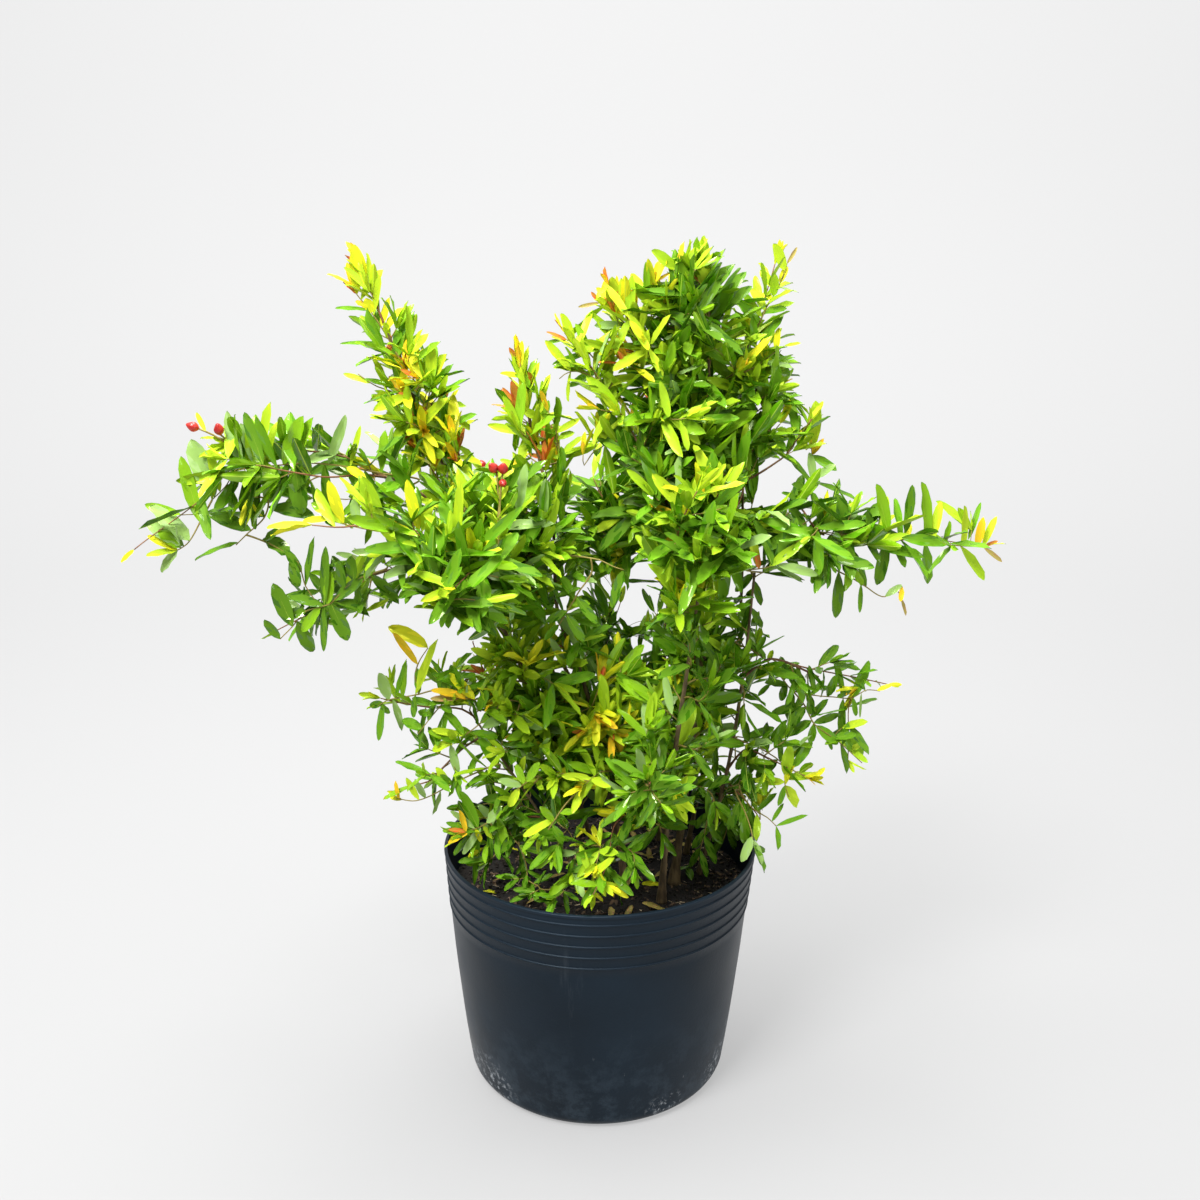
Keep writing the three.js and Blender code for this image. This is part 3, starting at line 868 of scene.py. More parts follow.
def bark_finish(name, dark, light, roughness):
    """Mottled bark with long grain and pale breathing pores."""
    made, tree, shader, spot = new_material(name, roughness)
    long_grain = stretched(tree, spot, (1, 1, 0.25))
    tones = place_group(tree, mottle, long_grain, Scale=210, Dark=(*dark, 1), Light=(*light, 1))
    pores = place_group(tree, film, spot, Scale=700, Threshold=0.63, Amount=0.55)
    pale = tuple(min(1, 1.9 * c + 0.04) for c in light)
    speckled = mixed_colour(tree, pores.outputs["Mask"], tones.outputs["Color"], (*pale, 1))
    tree.links.new(speckled, shader.inputs["Base Color"])
    grain = place_group(tree, relief, long_grain, Scale=900, Strength=0.7, Depth=0.0012)
    wire(tree, (grain, "Normal", shader, "Normal"))
    return made


old_bark = bark_finish("bark_old", (0.055, 0.036, 0.015), (0.21, 0.145, 0.062), 0.82)
bough_bark = bark_finish("bark_bough", (0.085, 0.034, 0.015), (0.22, 0.115, 0.045), 0.74)
for one in limbs:
    bark = link("bark_" + one["name"], bark_mesh(one))
    bark.data.materials.append(old_bark if one["rooted"] else bough_bark)
    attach(bark, "root")
    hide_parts(one["name"])

# %% [markdown]
# ## Room for the leaves
# The closed lumps of the frame say where there is foliage and where the sky shows. A tree
# of faces is built from each, and the growth rule asks it how far outside of all the lumps
# a point lies.

# %% Leaf masses as room to grow
MARGIN = 30 * MM  # a point further from a mass's box than this isn't near it
FAR_OUT = 50 * MM  # what is said of a point that is near no mass


class Mass:
    """One leaf mass of the frame: its faces, corners and volume."""

    def __init__(self, node):
        self.name = node.removeprefix("leaves_")
        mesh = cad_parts[node].data
        mesh.calc_loop_triangles()
        self.corners = np.array([vert.co[:] for vert in mesh.vertices])
        faces = [tuple(tri.vertices) for tri in mesh.loop_triangles]
        self.tree = BVHTree.FromPolygons([tuple(c) for c in self.corners], faces)
        a, b, c = (self.corners[[face[k] for face in faces]] for k in range(3))
        self.volume = abs(np.einsum("ij,ij->i", a, np.cross(b, c)).sum()) / 6
        self.low = self.corners.min(0) - MARGIN
        self.high = self.corners.max(0) + MARGIN

    def outside_by(self, place):
        """Distance to the surface, negative inside."""
        near, normal, _, distance = self.tree.find_nearest(place)
        return distance if (place - near).dot(normal) > 0 else -distance

    def near(self, place):
        return all(self.low[k] < place[k] < self.high[k] for k in range(3))


masses = [Mass(node) for node in sorted(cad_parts) if node.startswith("leaves_")]


def outside_by(place):
    """How far a point lies outside of every mass, negative inside one."""
    return min([one.outside_by(place) for one in masses if one.near(place)], default=FAR_OUT)


print("masses:", len(masses), "litres:", round(sum(one.volume for one in masses) * 1000, 1))

# %% [markdown]
# ## The growth rule
# A pomegranate sets its leaves and side shoots in opposite pairs, and each pair is turned
# a quarter against the last one. So one rule grows the whole plant: leaders leave the wood
# and run through a mass, side shoots leave the leaders in crossed pairs as far as there is
# room, and every shoot carries crossed pairs of leaves. All chance comes from one seeded
# source for each mass, so the plant is the same every time.

# %% Shoots
STEP = 6 * MM
LEADER_SPREAD = 32 * MM  # one leader serves about this radius of a mass
THIN_WOOD = 0.6 * MM  # leaders leave thicker wood than this where they can
THIN_TWIG = 0.7 * MM  # radius that a later shoot finds on a spur or a spray
THIN_TIP = 0.45 * MM  # radius at the tip of a short shoot


def scatter_vector(rng, size):
    return Vector((rng.gauss(0, size), rng.gauss(0, size), rng.gauss(0, size)))


def run_to(start, heading, target, rng, wander=0.10):
    """Grows from a point towards a target, in small steps that turn slowly."""
    line = [start]
    way = heading.normalized()
    reach = (target - start).length
    for _ in range(int(1.5 * reach / STEP) + 1):
        pull = target - line[-1]
        if pull.length < 0.7 * STEP:
            break
        way = (way * 0.72 + pull.normalized() * 0.28 + scatter_vector(rng, wander)).normalized()
        line.append(line[-1] + way * STEP)
    return line


def departure(ahead, pull):
    """The way a shoot leaves its wood: partly along it, mostly towards its goal."""
    pull = pull.normalized()
    return (pull + ahead * max(0.0, 0.6 * ahead.dot(pull) + 0.2)).normalized()


def led_through(place, ahead, stops, rng):
    """A leader's line: it leaves its wood, bends gently and runs through its stops."""
    first = stops[0] - place
    bend = place + departure(ahead, first) * 0.35 * first.length
    line = smooth_line([place, bend, *stops], STEP)
    apart = scatter_vector(rng, 9)
    for k in range(1, len(line)):
        line[k] = line[k] + noise.noise_vector(line[k] * 14 + apart) * 5 * MM * min(1, k / 6)
    return line


class Wood:
    """Every point of wood that a later shoot may leave from."""

    def __init__(self, room=80000):
        self.places = np.zeros((room, 3))
        self.ways = np.zeros((room, 3))
        self.facts = np.zeros((room, 2))  # radius, and age from the foot
        self.count = 0

    def note(self, line, radius, age):
        for k, place in enumerate(line):
            ahead = line[min(k + 1, len(line) - 1)] - line[max(k - 1, 0)]
            self.places[self.count] = place
            self.ways[self.count] = ahead.normalized()
            self.facts[self.count] = radius, age + k * STEP
            self.count += 1

    def foothold(self, goal, nearest=0.0, thickness=0.0, climb=1.1):
        """The wood that a shoot to this goal would leave from: near it, and below it."""
        places = self.places[:self.count]
        away = np.linalg.norm(places - np.array(goal), axis=1)
        above = np.maximum(0, places[:, 2] - goal.z + 0.2 * away)
        thin = np.maximum(0, thickness - self.facts[:self.count, 0])
        best = np.argmin(away + climb * above + 0.1 * (away < nearest) + 60 * thin)
        return Vector(places[best]), Vector(self.ways[best]), *self.facts[best]


wood = Wood()
for one in limbs:
    wood.note(spaced(one["line"], STEP), one["radii"][len(one["radii"]) // 2], one["line"][0].z)
print("points of wood:", wood.count)

# %% [markdown]
# A leaf is noted as a place, a direction, the way its face looks, a length, a width, a
# shape and a tint. Faces turn towards the light. A leaf whose tip would stand far outside
# the masses, cross the pot's wall or block a window in the crown is left out.

# %% Leaves on a shoot
# A habit has, in mm, the length of a leaf, how far a leaf tip may stand out of its mass and the
# pitch of the pairs of leaves; its lean to old and deep green (-) or young and yellow (+), the
# deep green partly painted shade on masses in the shade; how full it is; and the least and
# widest angle between a shoot and its leaves, in degrees.
Habit = namedtuple("Habit", "length trim lean fullness pitch least most", defaults=(10.5, 40, 68))
COMMON = Habit(44, 14, 0, 1)
FREE = COMMON._replace(trim=1000)  # may stand out of its mass as far as it likes
SHAPES = 8  # how many shapes of leaf there are
LEAF_WIDTH = (0.155, 0.21)  # as parts of the length, on top of the least width
LEAST_WIDTH = 1.8 * MM
TUFT = (0.90, 0.80, 0.56, 0.44)  # lengths of the leaves at a tip, as parts of the full length
SKY_WINDOWS = [
    # centre and half sizes in the camera's picture
    (645, 571, 16, 6), (686, 575, 11, 7), (634, 606, 13, 23), (606, 588, 5, 14), (638, 649, 17, 6),
    (562, 638, 5, 7), (561, 679, 8, 8), (592, 685, 7, 4), (543, 651, 8, 5), (770, 592, 12, 18),
    (728, 628, 9, 8), (480, 434, 18, 12), (509, 436, 7, 14), (520, 684, 6, 5), (431, 612, 11, 9),
    (462, 645, 6, 10), (410, 668, 14, 6), (573, 436, 9, 18), (616, 469, 6, 11), (640, 472, 7, 6),
    (524, 497, 11, 6), (730, 316, 8, 7), (774, 484, 22, 20), (470, 722, 14, 9), (464, 762, 12, 8),
    (560, 400, 8, 12), (296, 518, 18, 9), (348, 537, 34, 8), (331, 488, 9, 17), (366, 440, 8, 9),
    (244, 480, 7, 6), (345, 640, 24, 14), (862, 612, 8, 12), (950, 600, 32, 18), (915, 553, 8, 7),
    (790, 614, 26, 20), (729, 690, 8, 11), (728, 722, 8, 9), (727, 760, 7, 15), (758, 714, 6, 14),
    (770, 820, 8, 20), (250, 545, 22, 8), (384, 618, 14, 8), (862, 575, 8, 12), (800, 730, 6, 8),
    (838, 726, 7, 5), (782, 700, 7, 6), (880, 560, 7, 6), (945, 552, 9, 6), (740, 502, 9, 12),
    (728, 586, 14, 9), (800, 650, 28, 12), (584, 468, 13, 13), (720, 362, 8, 11), (420, 640, 12, 12),
]


def in_window(place):
    """True where a point would hide a patch of sky."""
    x, y = seen_at(place)
    return any(((x - u) / w) ** 2 + ((y - v) / h) ** 2 < 1 for u, v, w, h in SKY_WINDOWS)


def hits_pot(base, tip):
    """True where a leaf would cross the wall of the pot or reach into the soil."""
    if tip.z < soil_height(tip.x, tip.y) + 2 * MM and math.hypot(tip.x, tip.y) < RIM_RADIUS:
        return True
    if min(base.z, tip.z) > POT_HEIGHT + 3 * MM:
        return False
    wall = pot_radius(min(tip.z, POT_HEIGHT))
    inner, outer = wall - POT_WALL - 2 * MM, wall + 5 * MM
    radii = [math.hypot(p.x, p.y) for p in (base, base.lerp(tip, 0.5), tip)]
    return not (max(radii) < inner or min(radii) > outer)


def back_to_mass(tip):
    """The way from a leaf tip back to the nearest mass."""
    around = [one.tree.find_nearest(tip) for one in masses if one.near(tip)]
    if not around:
        return Vector((0, 0, 0))
    return (min(around, key=lambda hit: hit[3])[0] - tip).normalized()


def note_leaf(leaves, rng, place, way, face, length, tint, trim, slim=1.0):
    """Adds one leaf, bent back and shortened a little where it would stand out too far."""
    way = way.normalized()
    for _ in range(5):
        tip = place + way * length
        if outside_by(tip) < trim * MM:
            break
        way = (way + back_to_mass(tip) * 0.3).normalized()
        length *= 0.94
    else:
        return
    middle = place + way * length * 0.5
    if in_window(tip) or in_window(middle) or in_window(place) or hits_pot(place, tip):
        return
    face = face - way * face.dot(way)
    if face.length < 0.05:
        face = way.orthogonal()
    width = (length * rng.uniform(*LEAF_WIDTH) + LEAST_WIDTH) * slim
    leaves.append((place, way, face.normalized(), length, width, rng.randrange(SHAPES), tint))


def dress(leaves, rng, line, length, youth_and_light, habit=COMMON, first=1, tip_youth_and_light=0.0, quarter=0.0):
    """Sets crossed pairs of leaves along a shoot, and a small tuft at its tip."""
    across = frames_along(line)
    run = STEP * (len(line) - 1)
    pitch = habit.pitch * MM
    count = max(1, int(run / pitch))
    for pair in range(first, count + 1):
        along = pair * pitch / run
        k = min(len(line) - 1, round(along * (len(line) - 1)))
        tangent = (line[k] - line[k - 1]).normalized()
        turn = quarter + pair * math.pi / 2 + rng.uniform(-0.3, 0.3)
        fresh = max(0.0, (along - 0.55) / 0.45)
        size = length * (0.92 + 0.08 * min(1, 2.5 * along)) * (1 - 0.6 * fresh * tip_youth_and_light)
        spread = math.radians(rng.uniform(habit.least, habit.most) - 16 * fresh)
        tint = tint_for(youth_and_light + tip_youth_and_light * fresh, rng)
        for side in (0, math.pi):
            out = outward(across[k], turn + side)
            way = tangent * math.cos(spread) + out * math.sin(spread)
            way = way + UP * rng.uniform(-0.12, 0.22) + scatter_vector(rng, 0.07)
            face = tangent * 0.55 + UP * 0.75 - Vector((0, 0.25, 0)) + scatter_vector(rng, 0.22)
            note_leaf(leaves, rng, line[k], way, face, size * rng.uniform(0.86, 1.12), tint, habit.trim)
    tangent = (line[-1] - line[-2]).normalized()
    turn = rng.uniform(0, math.pi)
    tuft = youth_and_light + tip_youth_and_light + 0.06
    for k, share in enumerate(TUFT):
        out = outward(across[-1], turn)
        turn += math.pi if k % 2 == 0 else math.pi / 2
        way = tangent + out * (0.55 - 0.12 * k) + UP * 0.15
        face = out * -1 + UP * 0.3 + scatter_vector(rng, 0.1)
        small = length * share * rng.uniform(0.85, 1.1) * (1 - 0.5 * min(1, tip_youth_and_light))
        tint = tint_for(tuft + 0.05 * k, rng)
        note_leaf(leaves, rng, line[-1], way, face, small, tint, habit.trim, slim=0.9)


print("windows in the crown:", len(SKY_WINDOWS))

# %% [markdown]
# ## Tints
# One row of plain tints runs from the deep green of old leaves to the orange and red of the
# newest tips. Its greens, from deep to bright, are also shaded and lit copies of one green: a
# deep tint is partly painted shade, a bright one partly painted light. The pale grey-green tint
# is a painted reflection of the sky. A shoot's youth and light pick its place in the row, with a
# little chance.

# %% Tints
TINTS = [
    # name, base colour, roughness, youth and light up to which a spray has it
    ("leaf_deep", (0.042, 0.148, 0.003), 0.24, 0.09),
    ("leaf_green", (0.093, 0.276, 0.003), 0.24, 0.19),
    ("leaf_mid", (0.195, 0.400, 0.005), 0.26, 0.30),
    ("leaf_bright", (0.370, 0.570, 0.014), 0.30, 0.42),
    ("leaf_lime", (0.520, 0.680, 0.020), 0.36, 0.64),
    ("leaf_yellow", (0.800, 0.750, 0.016), 0.38, 0.90),
    ("leaf_amber", (0.920, 0.520, 0.015), 0.38, 1.00),
    ("leaf_red", (0.660, 0.110, 0.028), 0.38, 9),
    ("leaf_dry", (0.470, 0.270, 0.110), 0.60, 10),
    # A pale grey-green that paints the reflection of the sky on a waxy leaf.
    ("leaf_painted_sky_sheen", (0.300, 0.460, 0.150), 0.20, 11),
]
DEEP, GREEN, MID, BRIGHT, LIME, YELLOW, AMBER, RED, DRY, SKY_SHEEN = range(10)


def tint_for(youth_and_light, rng):
    """The place of a spray in the row of tints."""
    level = youth_and_light + rng.gauss(0, 0.05)
    return next(k for k, tint in enumerate(TINTS) if level < tint[3])


print("tints:", len(TINTS))

# %% [markdown]
# ## The habit of each mass
# The tall tips are young and yellow, the low arms old and deep green. The skirts under the
# crown lean to deep green as well, partly as painted shade. The crown is full of long leaves,
# while the arms carry single ones, far apart, on long shoots. The masses grow in the order of
# this table, because a later one may leave from the wood of an earlier one.

# %% Habits
HABITS = {
    "body_right": Habit(45, 14, 0.07, 1.15),
    "body_left": Habit(46, 14, 0.13, 0.95),
    "body_mid": Habit(46, 14, 0.13, 1.05),
    "body_back": Habit(44, 14, -0.02, 1),
    "crown_right": Habit(58, 10, 0, 0.95),
    "crown_left": Habit(55, 14, 0.06, 1),
    "crown_back": Habit(50, 14, 0, 1),
    "crown_right_back": Habit(52, 14, 0, 1),
    "crown_right_front": Habit(58, 14, -0.02, 1),
    "rosette_left": Habit(62, 5, -0.07, 1),
    "front": Habit(38, 14, -0.05, 1.1),
    "top_main": Habit(56, 3, 0, 1),
    "top_left": Habit(44, 6, 0.38, 1),
    "top_far_left": Habit(44, 5, 0.38, 1),
    "top_right": Habit(44, 5, 0.2, 0.6),
    "spire_mid": Habit(46, 5, 0.42, 0.75),
    "spire_left": Habit(48, 7, 0.32, 0.9, 11, 42, 70),
    "spire_left_tip": Habit(38, 3, 0.46, 0.3),
    "arm_left": Habit(54, 6, -0.1, 0.27, 13, 58, 88),
    "arm_left_tip": Habit(54, 3, -0.06, 0.12, 14, 55, 88),
    "arm_left_mid": Habit(48, 4, 0.22, 0.25, 13, 45, 78),
    "arm_left_low": Habit(46, 3, -0.18, 0.5, 12, 52, 84),
    "arm_right": Habit(52, 6, -0.14, 0.3, 14, 60, 90),
    "arm_right_tip": Habit(50, 2, -0.04, 0.1, 15, 62, 92),
    "spur_right": Habit(44, 4, 0.04, 0.5, 13, 44, 74),
    "low_right": Habit(36, 1, -0.02, 0.2, 13, 52, 84),
    "low_right_tip": Habit(35, 1, 0, 0.1, 13, 52, 84),
    "low_right_foot": Habit(36, 4, 0.08, 0.25, 13, 46, 76),
    "low_left": Habit(38, 7, 0.06, 0.6, 12, 46, 76),
    "low_left_foot": Habit(34, 2, 0.2, 0.2),
    "skirt_left": Habit(36, 14, -0.08, 1.3),
    "skirt_front": Habit(37, 14, -0.07, 1.4),
    "skirt_right": Habit(35, 14, -0.2, 1.6),
    "rim_right": Habit(33, 14, 0, 1.4),
    "back_left": Habit(44, 14, 0, 1),
    "back_right": Habit(44, 14, 0, 1),
}
print("youngest mass:", max(HABITS, key=lambda name: HABITS[name].lean))

# %% [markdown]
# ## Grow every mass
# The wood that enters a mass is found first, then its far end. Leaders run from one to the
# other, spread round the axis. Then goals are strewn through the mass, a fixed distance
# apart, and a side shoot grows to each from the nearest wood, the nearest goals first, so
# that the outer shoots leave the inner ones and the foliage is even to its edge.

# %% Growth
ROOM_PER_SHOOT = 19e-6  # cubic metres of mass for each side shoot
GOAL_PITCH = 15 * MM
FLUSH = 0.24  # share of the outer shoots that are in fresh growth
YOUNG_TIP = 0.34  # how much younger the tip of fresh growth is than its foot
LONGEST_SHOOT = 75 * MM
FIRST_STOP = 12 * MM  # a leader's first stop is at least this far from its wood
SIDE_START = 13 * MM  # a side shoot leaves wood that is about this far from its goal
OUTER_LAYER = 34 * MM  # a shoot that is deeper in the foliage than this is old, and gets no lighter tint from painted light
PROBES = [Vector(way).normalized() for way in (
    (1, 0, 0), (-1, 0, 0), (0, 1, 0), (0, -1, 0), (0, 0, 1), (0, 0, -1),
    (1, 1, 1), (-1, 1, 1), (1, -1, 1), (-1, -1, 1), (1, 0, -1), (-1, 0, -1),
)]
twigs = []  # (line, radius at the foot, radius at the tip, finish)


def has_room(place, reach):
    """True where the foliage goes on for this far on every side."""
    return all(outside_by(place + way * reach) < 2 * MM for way in PROBES)


def entry_of(mass):
    """The oldest wood inside a mass, or the nearest thick wood to it."""
    thick = [k for k in range(wood.count) if wood.facts[k, 0] > THIN_WOOD]
    inside = [k for k in thick if mass.near(wood.places[k])
              and mass.outside_by(Vector(wood.places[k])) < 0]
    if inside:
        return Vector(wood.places[min(inside, key=lambda k: wood.facts[k, 1])])
    return Vector(wood.places[min(thick, key=lambda k: mass.tree.find_nearest(wood.places[k])[3])])


def pulled_in(place, middle, depth):
    """Moves a point towards the middle until there is this much room round it."""
    for k in range(16):
        spot = place.lerp(middle, k / 16)
        if has_room(spot, depth):
            return spot
    return middle


def grow_leaders(mass, habit, rng, leaves):
    """Runs the main shoots from the wood to the far end of a mass."""
    room = 0.25 * habit.length * MM
    start = entry_of(mass)
    far = Vector(mass.corners[np.argmax(np.linalg.norm(mass.corners - np.array(start), axis=1))])
    axis = far - start
    cross = math.sqrt(mass.volume / (math.pi * axis.length))
    count = max(1, round((cross / LEADER_SPREAD) ** 2))
    middle = Vector(mass.corners.mean(0))
    pair = frames_along([start, far])[0]
    for k in range(count):
        turn = 2.4 * k + rng.uniform(0, 0.8)
        apart = 0.0 if count == 1 else 0.55 * cross
        offset = outward(pair, turn) * apart
        goal = pulled_in(start + axis * 0.98 + offset * 0.7, middle, room)
        halfway = start.lerp(goal, rng.uniform(0.35, 0.6)).lerp(middle, 0.3) + offset * 0.6
        gate = pulled_in(halfway, middle, room)
        place, ahead, radius, age = wood.foothold(start.lerp(gate, 0.3), 0, THIN_WOOD, climb=0.3)
        if (gate - place).length < FIRST_STOP:
            gate = place.lerp(goal, 0.5)
        line = led_through(place, ahead, [gate, goal], rng)
        clear = [j for j in range(int(0.6 * len(line)), len(line)) if in_window(line[j])]
        line = line[:clear[0]] if clear else line
        if len(line) < 4:
            continue
        reach = STEP * (len(line) - 1)
        foot = min(radius * 0.8, 0.9 * MM + 0.008 * reach)
        twigs.append((line, foot, 0.5 * MM, 0))
        wood.note(line, foot * 0.9, age)
        dress(leaves, rng, line, habit.length * MM, 0.10 + 0.8 * habit.lean, habit, first=2,
              tip_youth_and_light=YOUNG_TIP)
    return cross


def goals_in(mass, rng, count, depth):
    """Places strewn through a mass, no nearer to each other than the pitch."""
    found = np.zeros((0, 3))
    for _ in range(30 * count):
        spot = np.array([rng.uniform(low, high) for low, high in zip(mass.low, mass.high)])
        if len(found) and np.linalg.norm(found - spot, axis=1).min() < GOAL_PITCH:
            continue
        place = Vector(spot)
        if mass.outside_by(place) > 0 or not has_room(place, depth) or in_window(place):
            continue
        found = np.vstack([found, spot])
        if len(found) >= count:
            break
    return [Vector(spot) for spot in found]


def grow(mass, habit, order):
    """Grows leaders, side shoots and leaves through one mass."""
    rng = chance("growth", order)
    length = habit.length * MM
    leaves = []
    cross = grow_leaders(mass, habit, rng, leaves)
    wanted = max(2, round(mass.volume / ROOM_PER_SHOOT * habit.fullness))
    goals = goals_in(mass, rng, wanted, min(0.46 * length, 0.48 * cross))
    goals.sort(key=lambda goal: (wood.foothold(goal)[0] - goal).length)
    for goal in goals:
        place, ahead, radius, age = wood.foothold(goal, SIDE_START)
        gap = (goal - place).length
        if gap > LONGEST_SHOOT or outside_by(place.lerp(goal, 0.5)) > 5 * MM:
            continue
        heading = departure(ahead, goal - place) + UP * 0.2
        shoot = run_to(place, heading, goal, rng, wander=0.06)
        if len(shoot) < 2:
            continue
        foot = min(radius * 0.9, 0.6 * MM + 0.006 * gap)
        twigs.append((shoot, foot, 0.42 * MM, 1))
        wood.note(shoot[1:], foot * 0.9, age)
        # Shoots near the surface of a mass are fresher, and their lighter tints are partly painted light;
        # deep inside, the deeper tints are partly painted shade.
        outer = max(0.0, 1 + outside_by(goal) / OUTER_LAYER)
        youth_and_light = 0.06 + 0.6 * habit.lean + 0.15 * outer + rng.gauss(0, 0.07)
        tip_youth_and_light = 0.10 * outer
        if rng.random() < outer * (FLUSH + 1.6 * max(0, habit.lean)):
            youth_and_light += 0.16
            tip_youth_and_light = YOUNG_TIP
        dress(leaves, rng, shoot, length * rng.uniform(0.88, 1.05), youth_and_light, habit,
              tip_youth_and_light=tip_youth_and_light, quarter=rng.uniform(0, 1.5))
    return leaves


def leaf_count():
    return sum(len(leaves) for leaves in foliage.values())


by_name = {mass.name: mass for mass in masses}
foliage = {}
for order, (name, habit) in enumerate(HABITS.items()):
    foliage[name] = grow(by_name[name], habit, order)
print("leaves:", leaf_count(), "twigs:", len(twigs))
for name, leaves in foliage.items():
    print("  ", name, len(leaves))

# %% [markdown]
# ## Spurs on the thick wood
# Short spurs sit in opposite pairs all along the stems and boughs, from a little above the
# rim of the pot upwards. They clothe the thick wood, which would look like bare poles
# without them. Each spur belongs to the mass that is nearest to it.

# %% Spurs
SPUR_PITCH = 18 * MM
SPUR_START = 246 * MM
SPUR_LENGTHS = (10, 27)
LONGEST_SPUR_LEAF = 47.5 * MM


def mass_at(place):
    """The mass that a point is in, or the nearest one."""
    return min(masses, key=lambda mass: mass.tree.find_nearest(place)[3])


rng = chance("spurs")
spur_count = 0
for one in limbs:
    line = spaced(one["line"], STEP)
    across = frames_along(line)
    stride = round(SPUR_PITCH / STEP)
    for k in range(stride, len(line) - 1, stride):
        if line[k].z < SPUR_START or in_window(line[k]):
            continue
        turn = k / stride * math.pi / 2 + rng.uniform(-0.4, 0.4)
        tangent = (line[k + 1] - line[k - 1]).normalized()
        name = mass_at(line[k]).name
        for side in (0, math.pi):
            out = outward(across[k], turn + side)
            way = (tangent * 0.5 + out * 0.8 + UP * 0.15).normalized()
            tip = line[k] + way * rng.uniform(*SPUR_LENGTHS) * MM
            if in_window(tip) or outside_by(tip) > 12 * MM:
                continue
            shoot = run_to(line[k], way, tip, rng, wander=0.05)
            if len(shoot) < 2:
                continue
            twigs.append((shoot, 0.8 * MM, THIN_TIP, 1))
            wood.note(shoot[1:], THIN_TWIG, line[k].z)
            length = min(HABITS[name].length * MM, LONGEST_SPUR_LEAF)
            youth_and_light = 0.06 + 0.4 * HABITS[name].lean + rng.gauss(0, 0.06)
            dress(foliage[name], rng, shoot, length * rng.uniform(0.8, 1.0), youth_and_light,
                  tip_youth_and_light=0.06, quarter=rng.uniform(0, 1.5))
            spur_count += 1
print("spurs:", spur_count)

# %% [markdown]
# ## Shoots that stand out
# Some shoots leave the even foliage: the upright tips of the crown, the shoots that hang
# over the rim of the pot, and the low ones that spring from the feet of the stems. Each has
# the place that its outermost leaf reaches, and leaves the nearest wood like all the others.

